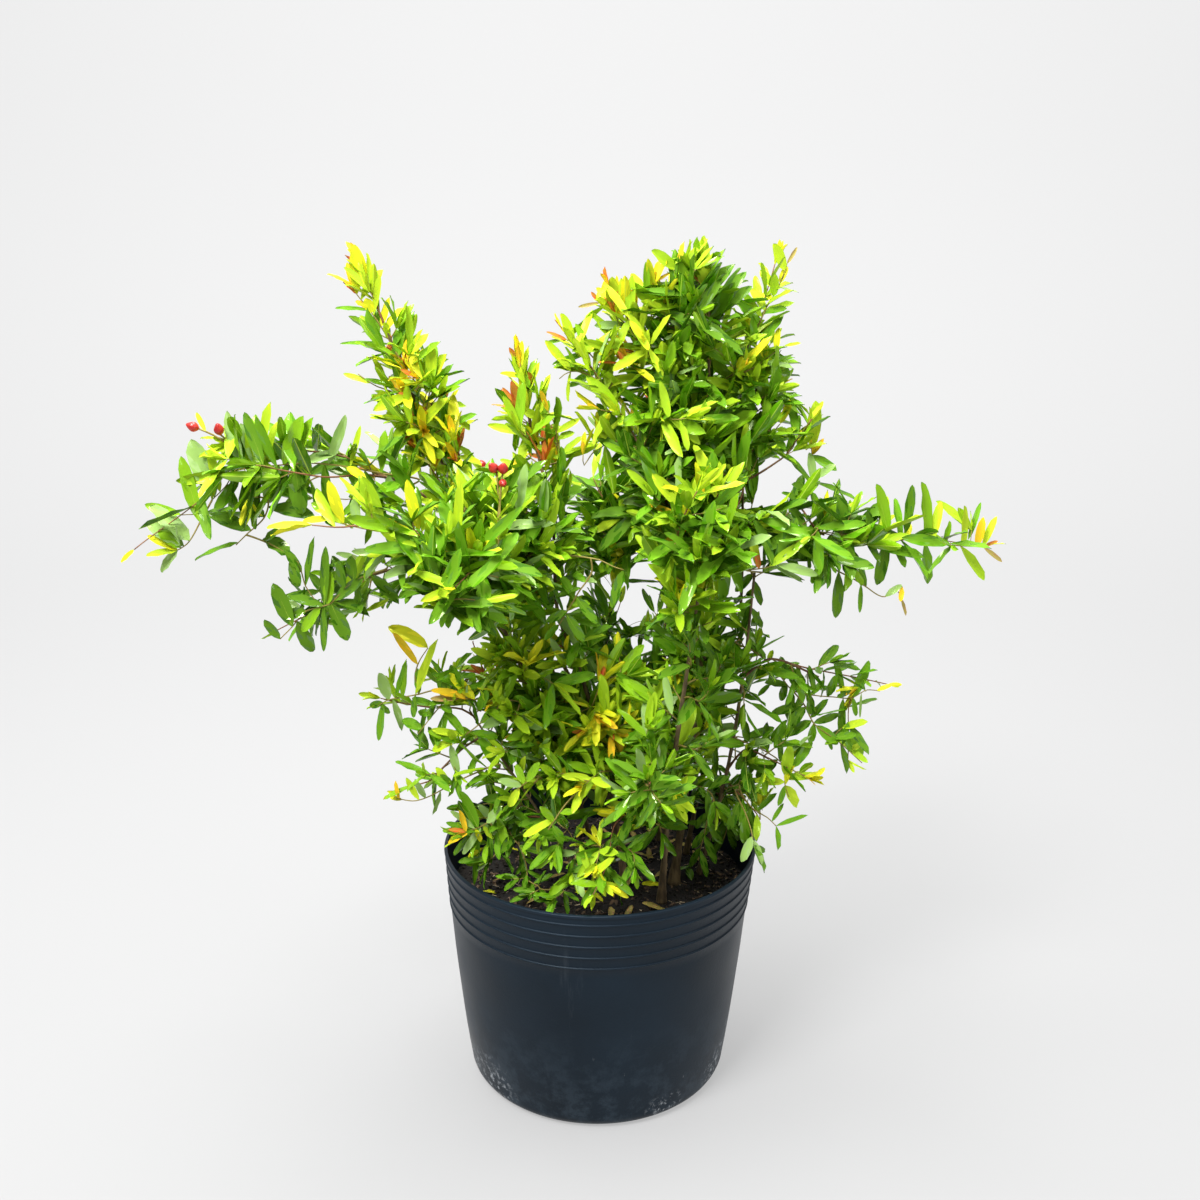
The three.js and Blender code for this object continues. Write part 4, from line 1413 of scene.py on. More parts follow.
# %% Single shoots
SHOOTS = [
    # mass, tip, a point on the way or None, leaf length, youth and light, youth and light of the tip
    ("rim_right", (156, 6, 250), (136, 8, 278), 30, 0.04, 0.10),
    ("skirt_right", (106, 40, 252), None, 30, 0.00, 0.10),
    ("skirt_right", (122, 22, 226), (120, 30, 260), 28, 0.00, 0.08),
    ("skirt_right", (102, -14, 246), None, 28, 0.02, 0.10),
    ("skirt_right", (132, 18, 252), (118, 22, 274), 30, 0.02, 0.10),
    ("skirt_right", (86, 0, 292), None, 32, 0.10, 0.12),
    ("skirt_right", (112, -34, 262), (104, -20, 290), 30, 0.06, 0.15),
    ("skirt_front", (20, -132, 238), (-10, -112, 252), 31, 0.34, 0.42),
    ("skirt_front", (-10, -126, 252), (0, -96, 270), 31, 0.30, 0.34),
    ("skirt_front", (-28, -122, 240), (-20, -90, 262), 30, 0.08, 0.10),
    ("skirt_front", (60, -92, 262), (52, -72, 286), 34, 0.00, 0.04),
    ("skirt_front", (34, -118, 240), (30, -94, 262), 30, 0.04, 0.06),
    ("skirt_front", (-48, -112, 258), (-30, -84, 282), 32, 0.04, 0.10),
    ("skirt_front", (-62, -96, 268), (-44, -70, 288), 32, 0.06, 0.15),
    ("front", (-24, -112, 324), (-8, -78, 326), 36, 0.28, 0.45),
    ("front", (-50, -98, 328), (-34, -66, 326), 36, 0.14, 0.20),
    ("front", (-70, -84, 314), (-52, -56, 318), 34, 0.10, 0.20),
    ("skirt_left", (-92, -82, 226), (-70, -66, 222), 22, 0.00, 0.04),
    ("skirt_left", (-70, -102, 222), (-52, -82, 222), 22, 0.00, 0.04),
    ("skirt_left", (-46, -118, 222), (-32, -92, 226), 24, 0.00, 0.04),
    ("skirt_left", (-136, -45, 256), (-104, -36, 270), 26, 0.42, 0.50),
    ("skirt_left", (-112, -44, 310), (-88, -36, 304), 32, 0.04, 0.12),
    ("skirt_left", (-117, -28, 268), (-84, -22, 276), 30, 0.00, 0.08),
    ("skirt_left", (-121, -55, 238), (-92, -44, 256), 26, 0.18, 0.45),
    ("skirt_left", (-116, -60, 224), (-96, -50, 242), 30, 0.00, 0.04),
    ("low_left", (-100, -50, 340), (-78, -42, 340), 32, 0.18, 0.24),
    ("low_right_foot", (152, -4, 330), (134, -2, 336), 32, 0.06, 0.12),
    ("rim_right", (150, -22, 286), (132, -14, 298), 30, 0.10, 0.16),
    ("crown_right", (166, 10, 668), (138, 8, 650), 44, 0.08, 0.16),
    ("crown_right", (156, -2, 632), (130, 0, 612), 46, 0.06, 0.10),
    ("top_left", (41, -6, 770), (48, -4, 724), 36, 0.46, 0.34),
    ("top_left", (26, -10, 752), (34, -8, 708), 38, 0.44, 0.40),
    ("top_left", (55, -4, 754), (58, -2, 716), 38, 0.36, 0.30),
    ("body_right", (77, -92, 480), (80, -70, 430), 46, 0.04, 0.06),
    ("body_right", (106, -88, 430), (88, -68, 396), 46, 0.06, 0.06),
    ("body_right", (104, -84, 376), (84, -66, 350), 42, 0.04, 0.06),
    ("body_right", (116, -60, 446), (104, -40, 412), 42, 0.02, 0.06),
    ("body_right", (132, -30, 430), (120, -16, 398), 40, 0.02, 0.05),
    ("body_mid", (40, -102, 396), (44, -74, 360), 42, 0.12, 0.14),
    ("body_right", (135, -16, 346), (132, -14, 392), 46, 0.03, 0.04),
    ("body_right", (137, -18, 288), (136, -16, 334), 44, 0.03, 0.04),
    ("low_left", (-126, -50, 392), (-108, -42, 376), 34, 0.14, 0.18),
    ("top_left", (8, -14, 668), (26, -8, 654), 40, 0.30, 0.36),
    ("crown_left", (0, -30, 640), (-4, -22, 612), 42, 0.22, 0.34),
    ("crown_left", (-14, -34, 622), (-14, -26, 598), 42, 0.28, 0.36),
    ("top_left", (6, -18, 740), (18, -12, 716), 32, 0.48, 0.45),
]
rng = chance("shoots")
for name, tip, way_point, length, youth_and_light, tip_youth_and_light in SHOOTS:
    tip = Vector(tip) * MM
    stop = Vector(way_point) * MM if way_point else tip
    place, ahead, radius, age = wood.foothold(stop, 8 * MM, climb=0.5)
    reach = tip - (stop if way_point else place)
    tip = tip - reach.normalized() * min(0.6 * length * MM, 0.6 * reach.length)
    stops = [stop, tip] if way_point else [place.lerp(tip, 0.5), tip]
    line = led_through(place, ahead, stops, rng)
    foot = min(radius, 0.7 * MM + 0.008 * (tip - place).length)
    twigs.append((line, foot, THIN_TIP, 1))
    wood.note(line, foot * 0.9, age)
    dress(foliage[name], rng, line, length * MM, youth_and_light, tip_youth_and_light=tip_youth_and_light,
          quarter=rng.uniform(0, 1.5), habit=HABITS[name]._replace(trim=FREE.trim))

# %% [markdown]
# ## Sprays at the edge of the plant
# Round the edge, single leaves stand clear against the sky. Each spray there has a twig,
# given by the pixels that it passes in the camera's picture and how far back it is, and its
# leaves, given by the pixels of foot and tip, a tint and a width. The twig leaves the
# nearest wood, and every leaf sits on its twig or on a short stalk from it.

# %% Edge sprays
PIXEL = 0.86 * MM  # what one pixel of the picture measures at the plant
TIP_DEPTH = 9  # how far, in mm, a leaf tip may stand in front of its twig or behind it
STALK = 5 * MM  # a leaf that starts further than this from its twig gets a stalk
# The leaves under the pale grey-green tint carry a painted reflection of the sky.
SPRAYS = [
    # mass, twig (pixel, pixel, mm back), then by tint the leaves (foot, tip, width, all in pixels)
    ("arm_right_tip", [(846, 534, -18), (880, 538, -17), (925, 541, -15), (950, 545, -14), (986, 547, -12)],
     {DEEP: [(905, 534, 912, 484, 11), (903, 538, 860, 522, 10), (887, 542, 875, 592, 13),
     (866, 538, 880, 564, 9), (870, 536, 867, 510, 9)], GREEN: [(968, 540, 981, 502, 6),
     (925, 542, 930, 586, 12), (890, 543, 905, 568, 9), (858, 536, 852, 508, 9)],
     MID: [(888, 532, 876, 483, 13), (928, 536, 921, 481, 14), (945, 542, 951, 521, 7)],
     BRIGHT: [(961, 549, 984, 581, 11), (948, 545, 928, 532, 7)], LIME: [(933, 538, 943, 498, 10),
     (964, 546, 964, 505, 11), (982, 548, 997, 516, 8)], YELLOW: [(905, 540, 912, 521, 8)],
     AMBER: [(976, 548, 985, 517, 9)], RED: [(983, 548, 998, 541, 4)], DRY: [(982, 549, 1002, 562, 5)]}),
    ("arm_right", [(790, 530, -22), (820, 532, -20), (846, 534, -18)], {DEEP: [(850, 532, 839, 493, 15),
     (824, 532, 812, 492, 10), (806, 531, 790, 506, 10), (812, 532, 800, 560, 11),
     (834, 534, 824, 558, 11)], GREEN: [(800, 530, 772, 512, 10), (846, 534, 862, 516, 9)],
     MID: [(826, 531, 837, 503, 14)]}),
    ("arm_right", [(818, 556, -22), (836, 570, -22), (852, 578, -22), (868, 588, -22), (884, 597, -20),
     (902, 586, -20)], {DEEP: [(837, 571, 838, 622, 12), (846, 574, 849, 540, 14), (866, 585, 852, 549, 9)],
     GREEN: [(860, 584, 860, 614, 5), (820, 558, 780, 557, 12), (826, 562, 812, 584, 10)],
     MID: [(862, 586, 850, 570, 11), (852, 580, 841, 592, 8)], AMBER: [(902, 587, 900, 602, 6)],
     DRY: [(901, 598, 906, 616, 4)], SKY_SHEEN: [(884, 596, 902, 584, 7)]}),
    ("arm_right", [(745, 570, -44), (765, 568, -50), (782, 562, -52)], {DEEP: [(772, 564, 757, 514, 11),
     (776, 562, 797, 517, 14)], BRIGHT: [(768, 566, 803, 541, 10), (752, 570, 738, 556, 7)],
     LIME: [(760, 567, 750, 531, 9)], RED: [(760, 568, 757, 552, 6)], SKY_SHEEN: [(776, 563, 822, 574, 10),
     (774, 566, 808, 583, 7)]}),
    ("spur_right", [(803, 505, 0), (809, 492, 2), (814, 480, 4), (812, 456, 8), (811, 442, 8)],
     {DEEP: [(816, 482, 859, 501, 10), (804, 503, 781, 493, 10), (808, 494, 791, 484, 10),
     (811, 490, 828, 530, 11), (810, 484, 786, 454, 8)], GREEN: [(814, 456, 837, 471, 10)],
     LIME: [(808, 450, 816, 400, 15)], YELLOW: [(806, 450, 793, 427, 12)], AMBER: [(815, 452, 815, 416, 7),
     (815, 454, 823, 438, 6)], SKY_SHEEN: [(812, 480, 809, 452, 9), (816, 480, 836, 465, 9)]}),
    ("arm_left", [(420, 480, -60), (385, 474, -72), (348, 467, -84), (310, 463, -94), (270, 466, -102),
     (240, 467, -108), (226, 486, -112), (212, 500, -116)], {DEEP: [(258, 468, 239, 525, 16),
     (262, 470, 256, 530, 13), (296, 466, 302, 515, 17), (325, 466, 328, 511, 10),
     (366, 470, 387, 524, 12)], GREEN: [(252, 462, 233, 434, 10), (286, 468, 276, 505, 12),
     (230, 484, 237, 512, 10), (240, 478, 214, 514, 11)], MID: [(240, 462, 227, 410, 12),
     (282, 462, 304, 415, 15), (296, 462, 313, 417, 12), (384, 470, 384, 429, 10), (302, 464, 307, 488, 9)],
     BRIGHT: [(248, 464, 250, 417, 10), (274, 462, 258, 430, 9), (246, 466, 216, 446, 8)],
     LIME: [(262, 460, 272, 401, 12), (266, 462, 277, 417, 8), (352, 465, 361, 425, 6),
     (218, 490, 209, 449, 9), (212, 500, 214, 475, 6)], YELLOW: [(262, 464, 220, 471, 6),
     (346, 468, 366, 480, 9)], SKY_SHEEN: [(256, 462, 240, 423, 12), (330, 460, 346, 414, 10),
     (300, 461, 342, 450, 9), (279, 468, 263, 507, 15), (388, 474, 390, 504, 10),
     (214, 498, 191, 439, 20)]}),
    ("arm_left_tip", [(212, 500, -116), (200, 522, -120), (188, 543, -124), (178, 550, -126)],
     {MID: [(199, 521, 181, 455, 13), (180, 548, 158, 530, 12)], LIME: [(174, 551, 146, 556, 7)],
     YELLOW: [(178, 549, 147, 536, 8)], SKY_SHEEN: [(188, 540, 150, 503, 20), (184, 546, 147, 523, 15),
     (183, 548, 176, 526, 10), (176, 551, 157, 574, 10)]}),
    ("arm_left", [(268, 500, -100), (264, 518, -102), (248, 533, -106), (236, 545, -108)],
     {DEEP: [(252, 530, 207, 512, 14), (267, 506, 316, 512, 14), (264, 518, 244, 500, 12)],
     GREEN: [(238, 544, 190, 558, 9)]}),
    ("arm_left_mid", [(422, 532, -118), (400, 531, -124), (372, 530, -130), (345, 524, -134),
     (322, 516, -138)], {BRIGHT: [(380, 530, 362, 475, 16)], LIME: [(345, 523, 315, 508, 7),
     (392, 530, 358, 521, 10), (422, 530, 431, 498, 10)], YELLOW: [(330, 519, 303, 521, 7),
     (344, 522, 326, 480, 11), (421, 528, 407, 479, 11), (410, 531, 378, 524, 8), (424, 536, 371, 554, 9)],
     AMBER: [(402, 530, 385, 519, 8)], SKY_SHEEN: [(358, 528, 352, 498, 9)]}),
    ("arm_left_low", [(386, 569, -96), (362, 577, -98), (345, 588, -100), (330, 604, -102),
     (306, 611, -104), (293, 626, -106), (280, 639, -108)], {DEEP: [(292, 624, 273, 582, 15),
     (324, 604, 286, 595, 10), (324, 604, 326, 545, 9), (332, 602, 363, 577, 11), (362, 577, 375, 546, 7),
     (370, 574, 399, 604, 12), (334, 600, 374, 613, 12), (331, 604, 348, 641, 15), (326, 606, 324, 652, 7),
     (298, 620, 315, 656, 14), (326, 608, 312, 638, 8), (281, 638, 264, 619, 9), (308, 611, 281, 616, 11),
     (342, 590, 340, 559, 11), (354, 582, 352, 555, 12), (356, 580, 359, 604, 7)],
     MID: [(328, 604, 331, 571, 11), (322, 608, 302, 632, 10)]}),
    ("arm_left_low", [(250, 536, -104), (268, 543, -104), (284, 552, -104), (298, 562, -104),
     (305, 585, -103), (318, 604, -102)], {DEEP: [(290, 557, 263, 534, 18), (292, 558, 296, 590, 11),
     (305, 586, 315, 536, 9), (262, 541, 280, 530, 9), (302, 574, 284, 548, 9)]}),
    ("low_right", [(735, 642, 2), (752, 650, 2), (768, 662, 0), (780, 675, 0), (792, 690, -2),
     (812, 695, -2), (835, 697, -3), (852, 698, -4), (866, 690, -4), (880, 691, -4)],
     {DEEP: [(766, 658, 750, 643, 11), (784, 680, 781, 656, 10), (797, 692, 796, 663, 8),
     (788, 686, 764, 683, 10), (786, 684, 781, 702, 9), (814, 695, 809, 665, 7), (828, 696, 839, 674, 10),
     (838, 698, 851, 690, 7), (842, 698, 841, 738, 9), (792, 692, 789, 720, 12)],
     GREEN: [(756, 652, 766, 636, 7), (782, 664, 750, 673, 11), (770, 684, 758, 696, 6),
     (812, 694, 825, 680, 7), (842, 697, 834, 659, 9), (854, 697, 869, 660, 12), (854, 699, 856, 716, 6),
     (772, 668, 770, 686, 6)], LIME: [(768, 660, 773, 650, 6)], YELLOW: [(878, 692, 893, 685, 6)],
     SKY_SHEEN: [(862, 694, 860, 718, 3)]}),
    ("low_right_tip", [(792, 690, -2), (805, 706, -4), (814, 724, -5), (834, 738, -6), (848, 750, -6),
     (862, 763, -6)], {DEEP: [(802, 706, 771, 713, 10), (806, 706, 790, 726, 12), (812, 722, 783, 737, 12),
     (814, 722, 839, 714, 9), (812, 716, 829, 699, 9), (810, 714, 812, 696, 9), (840, 744, 847, 774, 9)],
     GREEN: [(816, 726, 838, 744, 12), (812, 724, 811, 746, 9), (836, 736, 857, 735, 9),
     (842, 745, 848, 722, 7), (848, 750, 849, 738, 7), (828, 736, 832, 750, 5)],
     LIME: [(842, 728, 870, 720, 9), (850, 752, 863, 744, 7)]}),
    ("low_right_foot", [(735, 738, -10), (755, 746, -12), (770, 754, -14), (784, 766, -18), (785, 785, -20),
     (789, 797, -22)], {DEEP: [(768, 753, 766, 720, 9), (780, 760, 780, 736, 7), (776, 764, 756, 778, 13),
     (752, 745, 736, 770, 12), (758, 748, 744, 764, 9), (748, 742, 745, 720, 9)],
     GREEN: [(787, 786, 778, 806, 7), (792, 768, 813, 740, 11), (782, 762, 812, 735, 8)],
     BRIGHT: [(786, 776, 790, 744, 13), (786, 780, 822, 774, 12)], LIME: [(785, 781, 754, 781, 10),
     (786, 786, 797, 807, 13)], YELLOW: [(786, 785, 792, 765, 8), (784, 764, 797, 750, 5)]}),
    ("rim_right", [(740, 790, -14), (752, 808, -18), (768, 818, -20), (776, 826, -22)],
     {DEEP: [(752, 808, 744, 840, 11), (748, 804, 757, 842, 9)], GREEN: [(756, 810, 777, 793, 7),
     (772, 820, 784, 803, 5), (776, 826, 780, 853, 7), (778, 826, 808, 815, 6)]}),
    ("rim_right", [(735, 790, -20), (745, 812, -44), (752, 834, -58), (753, 846, -62)],
     {DEEP: [(740, 800, 728, 830, 11), (753, 845, 768, 852, 7)], GREEN: [(747, 814, 743, 850, 11),
     (753, 845, 770, 876, 9)], SKY_SHEEN: [(752, 836, 741, 862, 10), (753, 840, 762, 866, 9)]}),
    ("skirt_right", [(722, 792, 20), (728, 812, 20), (726, 832, 18), (720, 846, 16)],
     {DEEP: [(724, 800, 706, 822, 9), (728, 812, 738, 836, 10), (727, 816, 712, 842, 10),
     (727, 826, 735, 850, 9), (726, 830, 711, 858, 9), (722, 842, 704, 856, 8)],
     SKY_SHEEN: [(727, 820, 740, 842, 7)]}),
    ("skirt_right", [(712, 800, -20), (706, 826, -26), (700, 850, -30)], {DEEP: [(710, 812, 694, 830, 9),
     (708, 820, 722, 844, 10), (705, 832, 690, 850, 8), (704, 836, 716, 864, 9), (701, 848, 688, 870, 8),
     (700, 850, 708, 878, 8)], SKY_SHEEN: [(706, 828, 696, 848, 7)]}),
    ("low_left", [(520, 702, -44), (496, 701, -48), (470, 699, -50), (455, 697, -52)],
     {DEEP: [(482, 700, 486, 676, 7)], MID: [(506, 702, 518, 668, 9)], LIME: [(496, 700, 501, 679, 9)],
     YELLOW: [(476, 699, 449, 671, 11)], AMBER: [(472, 698, 431, 690, 10)],
     DRY: [(462, 698, 430, 699, 7)]}),
    ("low_left", [(500, 705, -46), (482, 722, -46), (468, 733, -48), (450, 744, -50)],
     {DEEP: [(478, 726, 472, 700, 8)], GREEN: [(480, 724, 501, 704, 10), (450, 745, 458, 774, 9),
     (464, 734, 444, 711, 10), (470, 732, 499, 738, 9)], LIME: [(464, 735, 431, 729, 8),
     (452, 744, 429, 749, 10), (456, 741, 448, 728, 8)]}),
    ("low_left", [(470, 676, -40), (446, 700, -44), (432, 716, -46), (418, 734, -48)],
     {DEEP: [(446, 700, 444, 678, 7), (458, 688, 450, 664, 8), (428, 720, 436, 702, 8)],
     GREEN: [(422, 728, 402, 720, 12), (434, 714, 418, 712, 8), (440, 706, 452, 712, 8)]}),
    ("low_left", [(440, 690, -44), (420, 694, -46), (404, 697, -48), (388, 700, -50), (378, 706, -50)],
     {DEEP: [(386, 704, 370, 706, 8), (416, 695, 414, 718, 8), (380, 704, 390, 714, 7)],
     GREEN: [(390, 699, 379, 672, 12), (386, 704, 379, 741, 8), (394, 699, 402, 731, 9),
     (397, 698, 407, 661, 7), (419, 694, 418, 668, 8)], LIME: [(416, 694, 438, 639, 12)]}),
    ("low_left", [(419, 694, -46), (415, 676, -44), (420, 660, -42), (428, 648, -41)],
     {YELLOW: [(428, 648, 387, 621, 15)], AMBER: [(413, 664, 393, 632, 8)]}),
    ("low_left_foot", [(500, 764, -44), (478, 772, -50), (460, 780, -52), (445, 788, -54), (430, 796, -56),
     (414, 801, -58), (396, 798, -60)], {GREEN: [(452, 784, 440, 774, 7), (470, 776, 474, 758, 7)],
     LIME: [(448, 787, 436, 768, 9), (442, 789, 432, 772, 7), (420, 799, 406, 777, 7)],
     YELLOW: [(404, 800, 390, 797, 5)], AMBER: [(398, 799, 395, 781, 5)], SKY_SHEEN: [(440, 791, 432, 815, 8),
     (424, 798, 415, 779, 7), (462, 780, 455, 792, 8)]}),
    ("spire_left_tip", [(400, 360, 58), (392, 345, 60), (380, 325, 62), (368, 308, 64), (358, 296, 66),
     (350, 283, 68)], {GREEN: [(368, 310, 335, 308, 6), (392, 350, 413, 309, 12), (390, 346, 335, 341, 5),
     (396, 356, 399, 328, 12)], LIME: [(362, 300, 384, 270, 13), (374, 316, 381, 274, 9),
     (388, 340, 384, 322, 9)], YELLOW: [(357, 296, 354, 243, 13), (352, 284, 327, 271, 7),
     (372, 314, 366, 298, 11), (382, 328, 390, 297, 9), (386, 334, 403, 303, 10)],
     AMBER: [(353, 288, 347, 262, 7), (368, 308, 355, 300, 8)], RED: [(356, 294, 343, 281, 5)]}),
    ("spire_left", [(424, 420, 50), (428, 400, 52), (432, 382, 54), (436, 368, 56)],
     {GREEN: [(434, 392, 454, 364, 10)], BRIGHT: [(430, 392, 418, 356, 10)],
     LIME: [(431, 386, 431, 342, 12), (436, 378, 447, 354, 14), (428, 400, 448, 388, 9)]}),
    ("spire_left", [(418, 410, 50), (398, 394, 54), (376, 386, 56), (358, 374, 58)],
     {GREEN: [(412, 406, 390, 412, 8)], LIME: [(372, 384, 343, 374, 7), (388, 390, 372, 358, 10),
     (392, 392, 370, 400, 8)], YELLOW: [(400, 396, 406, 362, 10)], AMBER: [(406, 400, 388, 372, 7)]}),
    ("spire_left", [(432, 436, 44), (448, 426, 46), (460, 420, 48)], {GREEN: [(450, 425, 477, 414, 8),
     (440, 430, 444, 404, 9)], MID: [(446, 428, 458, 452, 10)], LIME: [(456, 422, 474, 430, 8)]}),
    ("spire_mid", [(560, 460, 0), (557, 440, 6), (555, 425, 8), (547, 410, 12), (538, 395, 16),
     (530, 378, 20), (521, 365, 22)], {MID: [(536, 394, 514, 375, 10), (556, 426, 556, 396, 11),
     (556, 432, 540, 430, 8)], BRIGHT: [(558, 440, 574, 430, 8), (560, 456, 584, 436, 8),
     (560, 458, 536, 446, 8)], LIME: [(541, 400, 551, 374, 9), (557, 432, 580, 417, 7)],
     YELLOW: [(531, 380, 500, 373, 7)], AMBER: [(548, 411, 540, 390, 6)], RED: [(521, 366, 509, 347, 6),
     (533, 384, 528, 372, 6)]}),
    ("spire_mid", [(555, 428, 8), (538, 420, 12), (524, 413, 16), (510, 408, 18)],
     {LIME: [(548, 424, 520, 407, 9)], YELLOW: [(520, 412, 503, 409, 7)], AMBER: [(516, 410, 512, 392, 7)],
     RED: [(510, 408, 490, 403, 4), (508, 408, 501, 389, 3)]}),
    ("spire_mid", [(557, 444, 4), (540, 437, 10), (526, 434, 12)], {BRIGHT: [(545, 440, 520, 446, 7)],
     LIME: [(526, 434, 487, 425, 9)], AMBER: [(556, 462, 549, 438, 8)], RED: [(550, 460, 528, 454, 5)]}),
    ("top_far_left", [(614, 380, -16), (600, 366, -18), (588, 352, -22), (577, 345, -24), (567, 340, -26)],
     {GREEN: [(567, 341, 543, 342, 4), (588, 353, 552, 365, 7), (600, 367, 569, 387, 9)],
     MID: [(590, 354, 575, 322, 8)], LIME: [(573, 344, 561, 313, 10), (611, 376, 596, 338, 11)],
     YELLOW: [(574, 345, 568, 332, 8), (606, 372, 600, 354, 9)], RED: [(567, 340, 546, 332, 5)]}),
    ("top_left", [(640, 345, -8), (632, 330, -8), (619, 318, -8), (608, 306, -8), (600, 303, -8)],
     {GREEN: [(636, 338, 622, 330, 9)], LIME: [(610, 310, 612, 276, 14), (616, 316, 596, 296, 8)],
     YELLOW: [(620, 319, 629, 296, 12)], AMBER: [(604, 305, 606, 278, 8), (618, 316, 617, 275, 6)],
     RED: [(601, 303, 591, 291, 4)], DRY: [(601, 303, 578, 307, 4)], SKY_SHEEN: [(628, 326, 594, 326, 9)]}),
    ("top_left", [(655, 325, -4), (650, 308, -4), (646, 298, -4)], {MID: [(648, 300, 646, 261, 7)],
     BRIGHT: [(652, 314, 664, 284, 10)], LIME: [(647, 298, 631, 272, 11), (651, 310, 634, 306, 8)]}),
    ("top_main", [(708, 345, 2), (709, 320, 2), (706, 300, 2), (700, 284, 2), (690, 276, 3), (678, 269, 4),
     (668, 275, 5)], {DEEP: [(707, 322, 664, 288, 18), (709, 312, 747, 269, 12), (709, 328, 740, 300, 12),
     (712, 318, 753, 282, 12)], GREEN: [(698, 284, 684, 292, 10)], BRIGHT: [(678, 269, 651, 250, 12)],
     LIME: [(706, 298, 704, 235, 15), (708, 298, 720, 279, 9)], YELLOW: [(692, 278, 680, 266, 8)],
     AMBER: [(680, 270, 682, 239, 7), (670, 274, 654, 282, 4)], RED: [(698, 284, 694, 270, 6)],
     SKY_SHEEN: [(706, 302, 672, 300, 12), (708, 304, 741, 289, 9), (709, 318, 662, 322, 9),
     (709, 336, 664, 338, 9)]}),
    ("top_right", [(758, 326, 18), (766, 308, 22), (776, 292, 26), (783, 276, 28), (787, 264, 30)],
     {GREEN: [(766, 314, 788, 305, 8), (760, 324, 737, 301, 13)], BRIGHT: [(774, 296, 776, 274, 9),
     (762, 318, 742, 292, 8)], LIME: [(786, 270, 773, 243, 11), (778, 290, 760, 270, 9),
     (766, 310, 752, 284, 10)], YELLOW: [(783, 286, 787, 264, 7), (772, 300, 762, 292, 9)],
     DRY: [(787, 264, 797, 247, 4)], SKY_SHEEN: [(780, 286, 799, 293, 4)]}),
    ("crown_right", [(745, 372, 8), (756, 366, 10), (770, 356, 12), (784, 346, 16)],
     {DEEP: [(766, 362, 794, 375, 11)], GREEN: [(764, 364, 795, 358, 8), (750, 372, 748, 426, 14)],
     MID: [(760, 368, 771, 422, 15)], LIME: [(784, 346, 801, 343, 4)], YELLOW: [(764, 360, 764, 338, 9),
     (777, 352, 779, 326, 7)], SKY_SHEEN: [(760, 366, 797, 365, 9)]}),
    ("crown_right", [(764, 428, 6), (772, 432, 8), (780, 424, 10)], {GREEN: [(770, 432, 786, 450, 8),
     (768, 432, 760, 458, 9)], BRIGHT: [(776, 430, 795, 437, 9)], YELLOW: [(780, 426, 792, 397, 8)]}),
    ("crown_right_front", [(690, 556, -58), (690, 534, -62), (688, 514, -64)],
     {MID: [(690, 520, 672, 448, 15), (690, 530, 706, 498, 12)], LIME: [(688, 514, 652, 473, 13),
     (690, 516, 731, 483, 8), (690, 522, 724, 554, 13)], AMBER: [(686, 520, 648, 504, 7),
     (688, 528, 661, 545, 6)]}),
    ("rosette_left", [(500, 552, -116), (478, 556, -124), (456, 554, -130)],
     {DEEP: [(480, 555, 546, 575, 13), (474, 556, 496, 590, 12)], GREEN: [(456, 555, 468, 584, 14),
     (470, 552, 524, 503, 10), (460, 550, 440, 494, 13)], MID: [(456, 552, 424, 520, 11)],
     BRIGHT: [(464, 550, 503, 492, 12)], LIME: [(458, 550, 460, 476, 9), (452, 580, 446, 607, 10)],
     YELLOW: [(452, 552, 376, 546, 8)], SKY_SHEEN: [(464, 554, 505, 579, 13), (450, 554, 374, 574, 13)]}),
    ("body_mid", [(600, 560, -60), (612, 566, -64), (624, 570, -66)], {DEEP: [(624, 570, 610, 610, 13)],
     GREEN: [(626, 572, 630, 594, 5)]}),
    ("body_mid", [(592, 572, -56), (580, 590, -58), (568, 610, -58), (556, 630, -56)],
     {DEEP: [(582, 587, 556, 598, 10), (576, 596, 597, 624, 10), (568, 610, 546, 622, 9),
     (566, 612, 584, 642, 10)], GREEN: [(574, 600, 560, 576, 10), (560, 624, 545, 640, 8),
     (586, 582, 572, 570, 8)], MID: [(570, 606, 592, 602, 8)]}),
    ("body_right", [(753, 573, 32), (750, 606, 30), (747, 640, 30)], {DEEP: [(753, 575, 735, 592, 10),
     (752, 580, 761, 606, 9), (751, 598, 737, 622, 10), (750, 606, 762, 628, 9), (749, 622, 737, 645, 9),
     (748, 630, 759, 652, 9)]}),
    ("skirt_left", [(520, 806, -40), (500, 815, -48), (482, 826, -56), (466, 832, -62)],
     {DEEP: [(490, 822, 491, 866, 7)], GREEN: [(478, 824, 459, 790, 12), (478, 828, 474, 886, 7)],
     MID: [(498, 816, 508, 851, 10), (480, 826, 462, 856, 8)], LIME: [(483, 826, 494, 838, 8)],
     YELLOW: [(474, 830, 481, 842, 6)], AMBER: [(466, 830, 460, 810, 7), (470, 832, 446, 844, 7)],
     RED: [(466, 832, 448, 828, 5)], SKY_SHEEN: [(485, 822, 501, 806, 10), (474, 829, 450, 811, 7)]}),
    ("skirt_left", [(540, 775, -70), (524, 784, -84), (517, 790, -90)], {GREEN: [(520, 786, 498, 780, 9)],
     MID: [(526, 782, 540, 762, 9), (522, 784, 516, 764, 8)], LIME: [(519, 788, 507, 809, 9)]}),
    ("skirt_front", [(565, 805, -100), (556, 818, -108), (548, 830, -112)],
     {GREEN: [(552, 824, 566, 848, 9)], MID: [(558, 814, 580, 812, 9), (554, 822, 540, 806, 8)],
     LIME: [(556, 820, 523, 837, 9)]}),
]


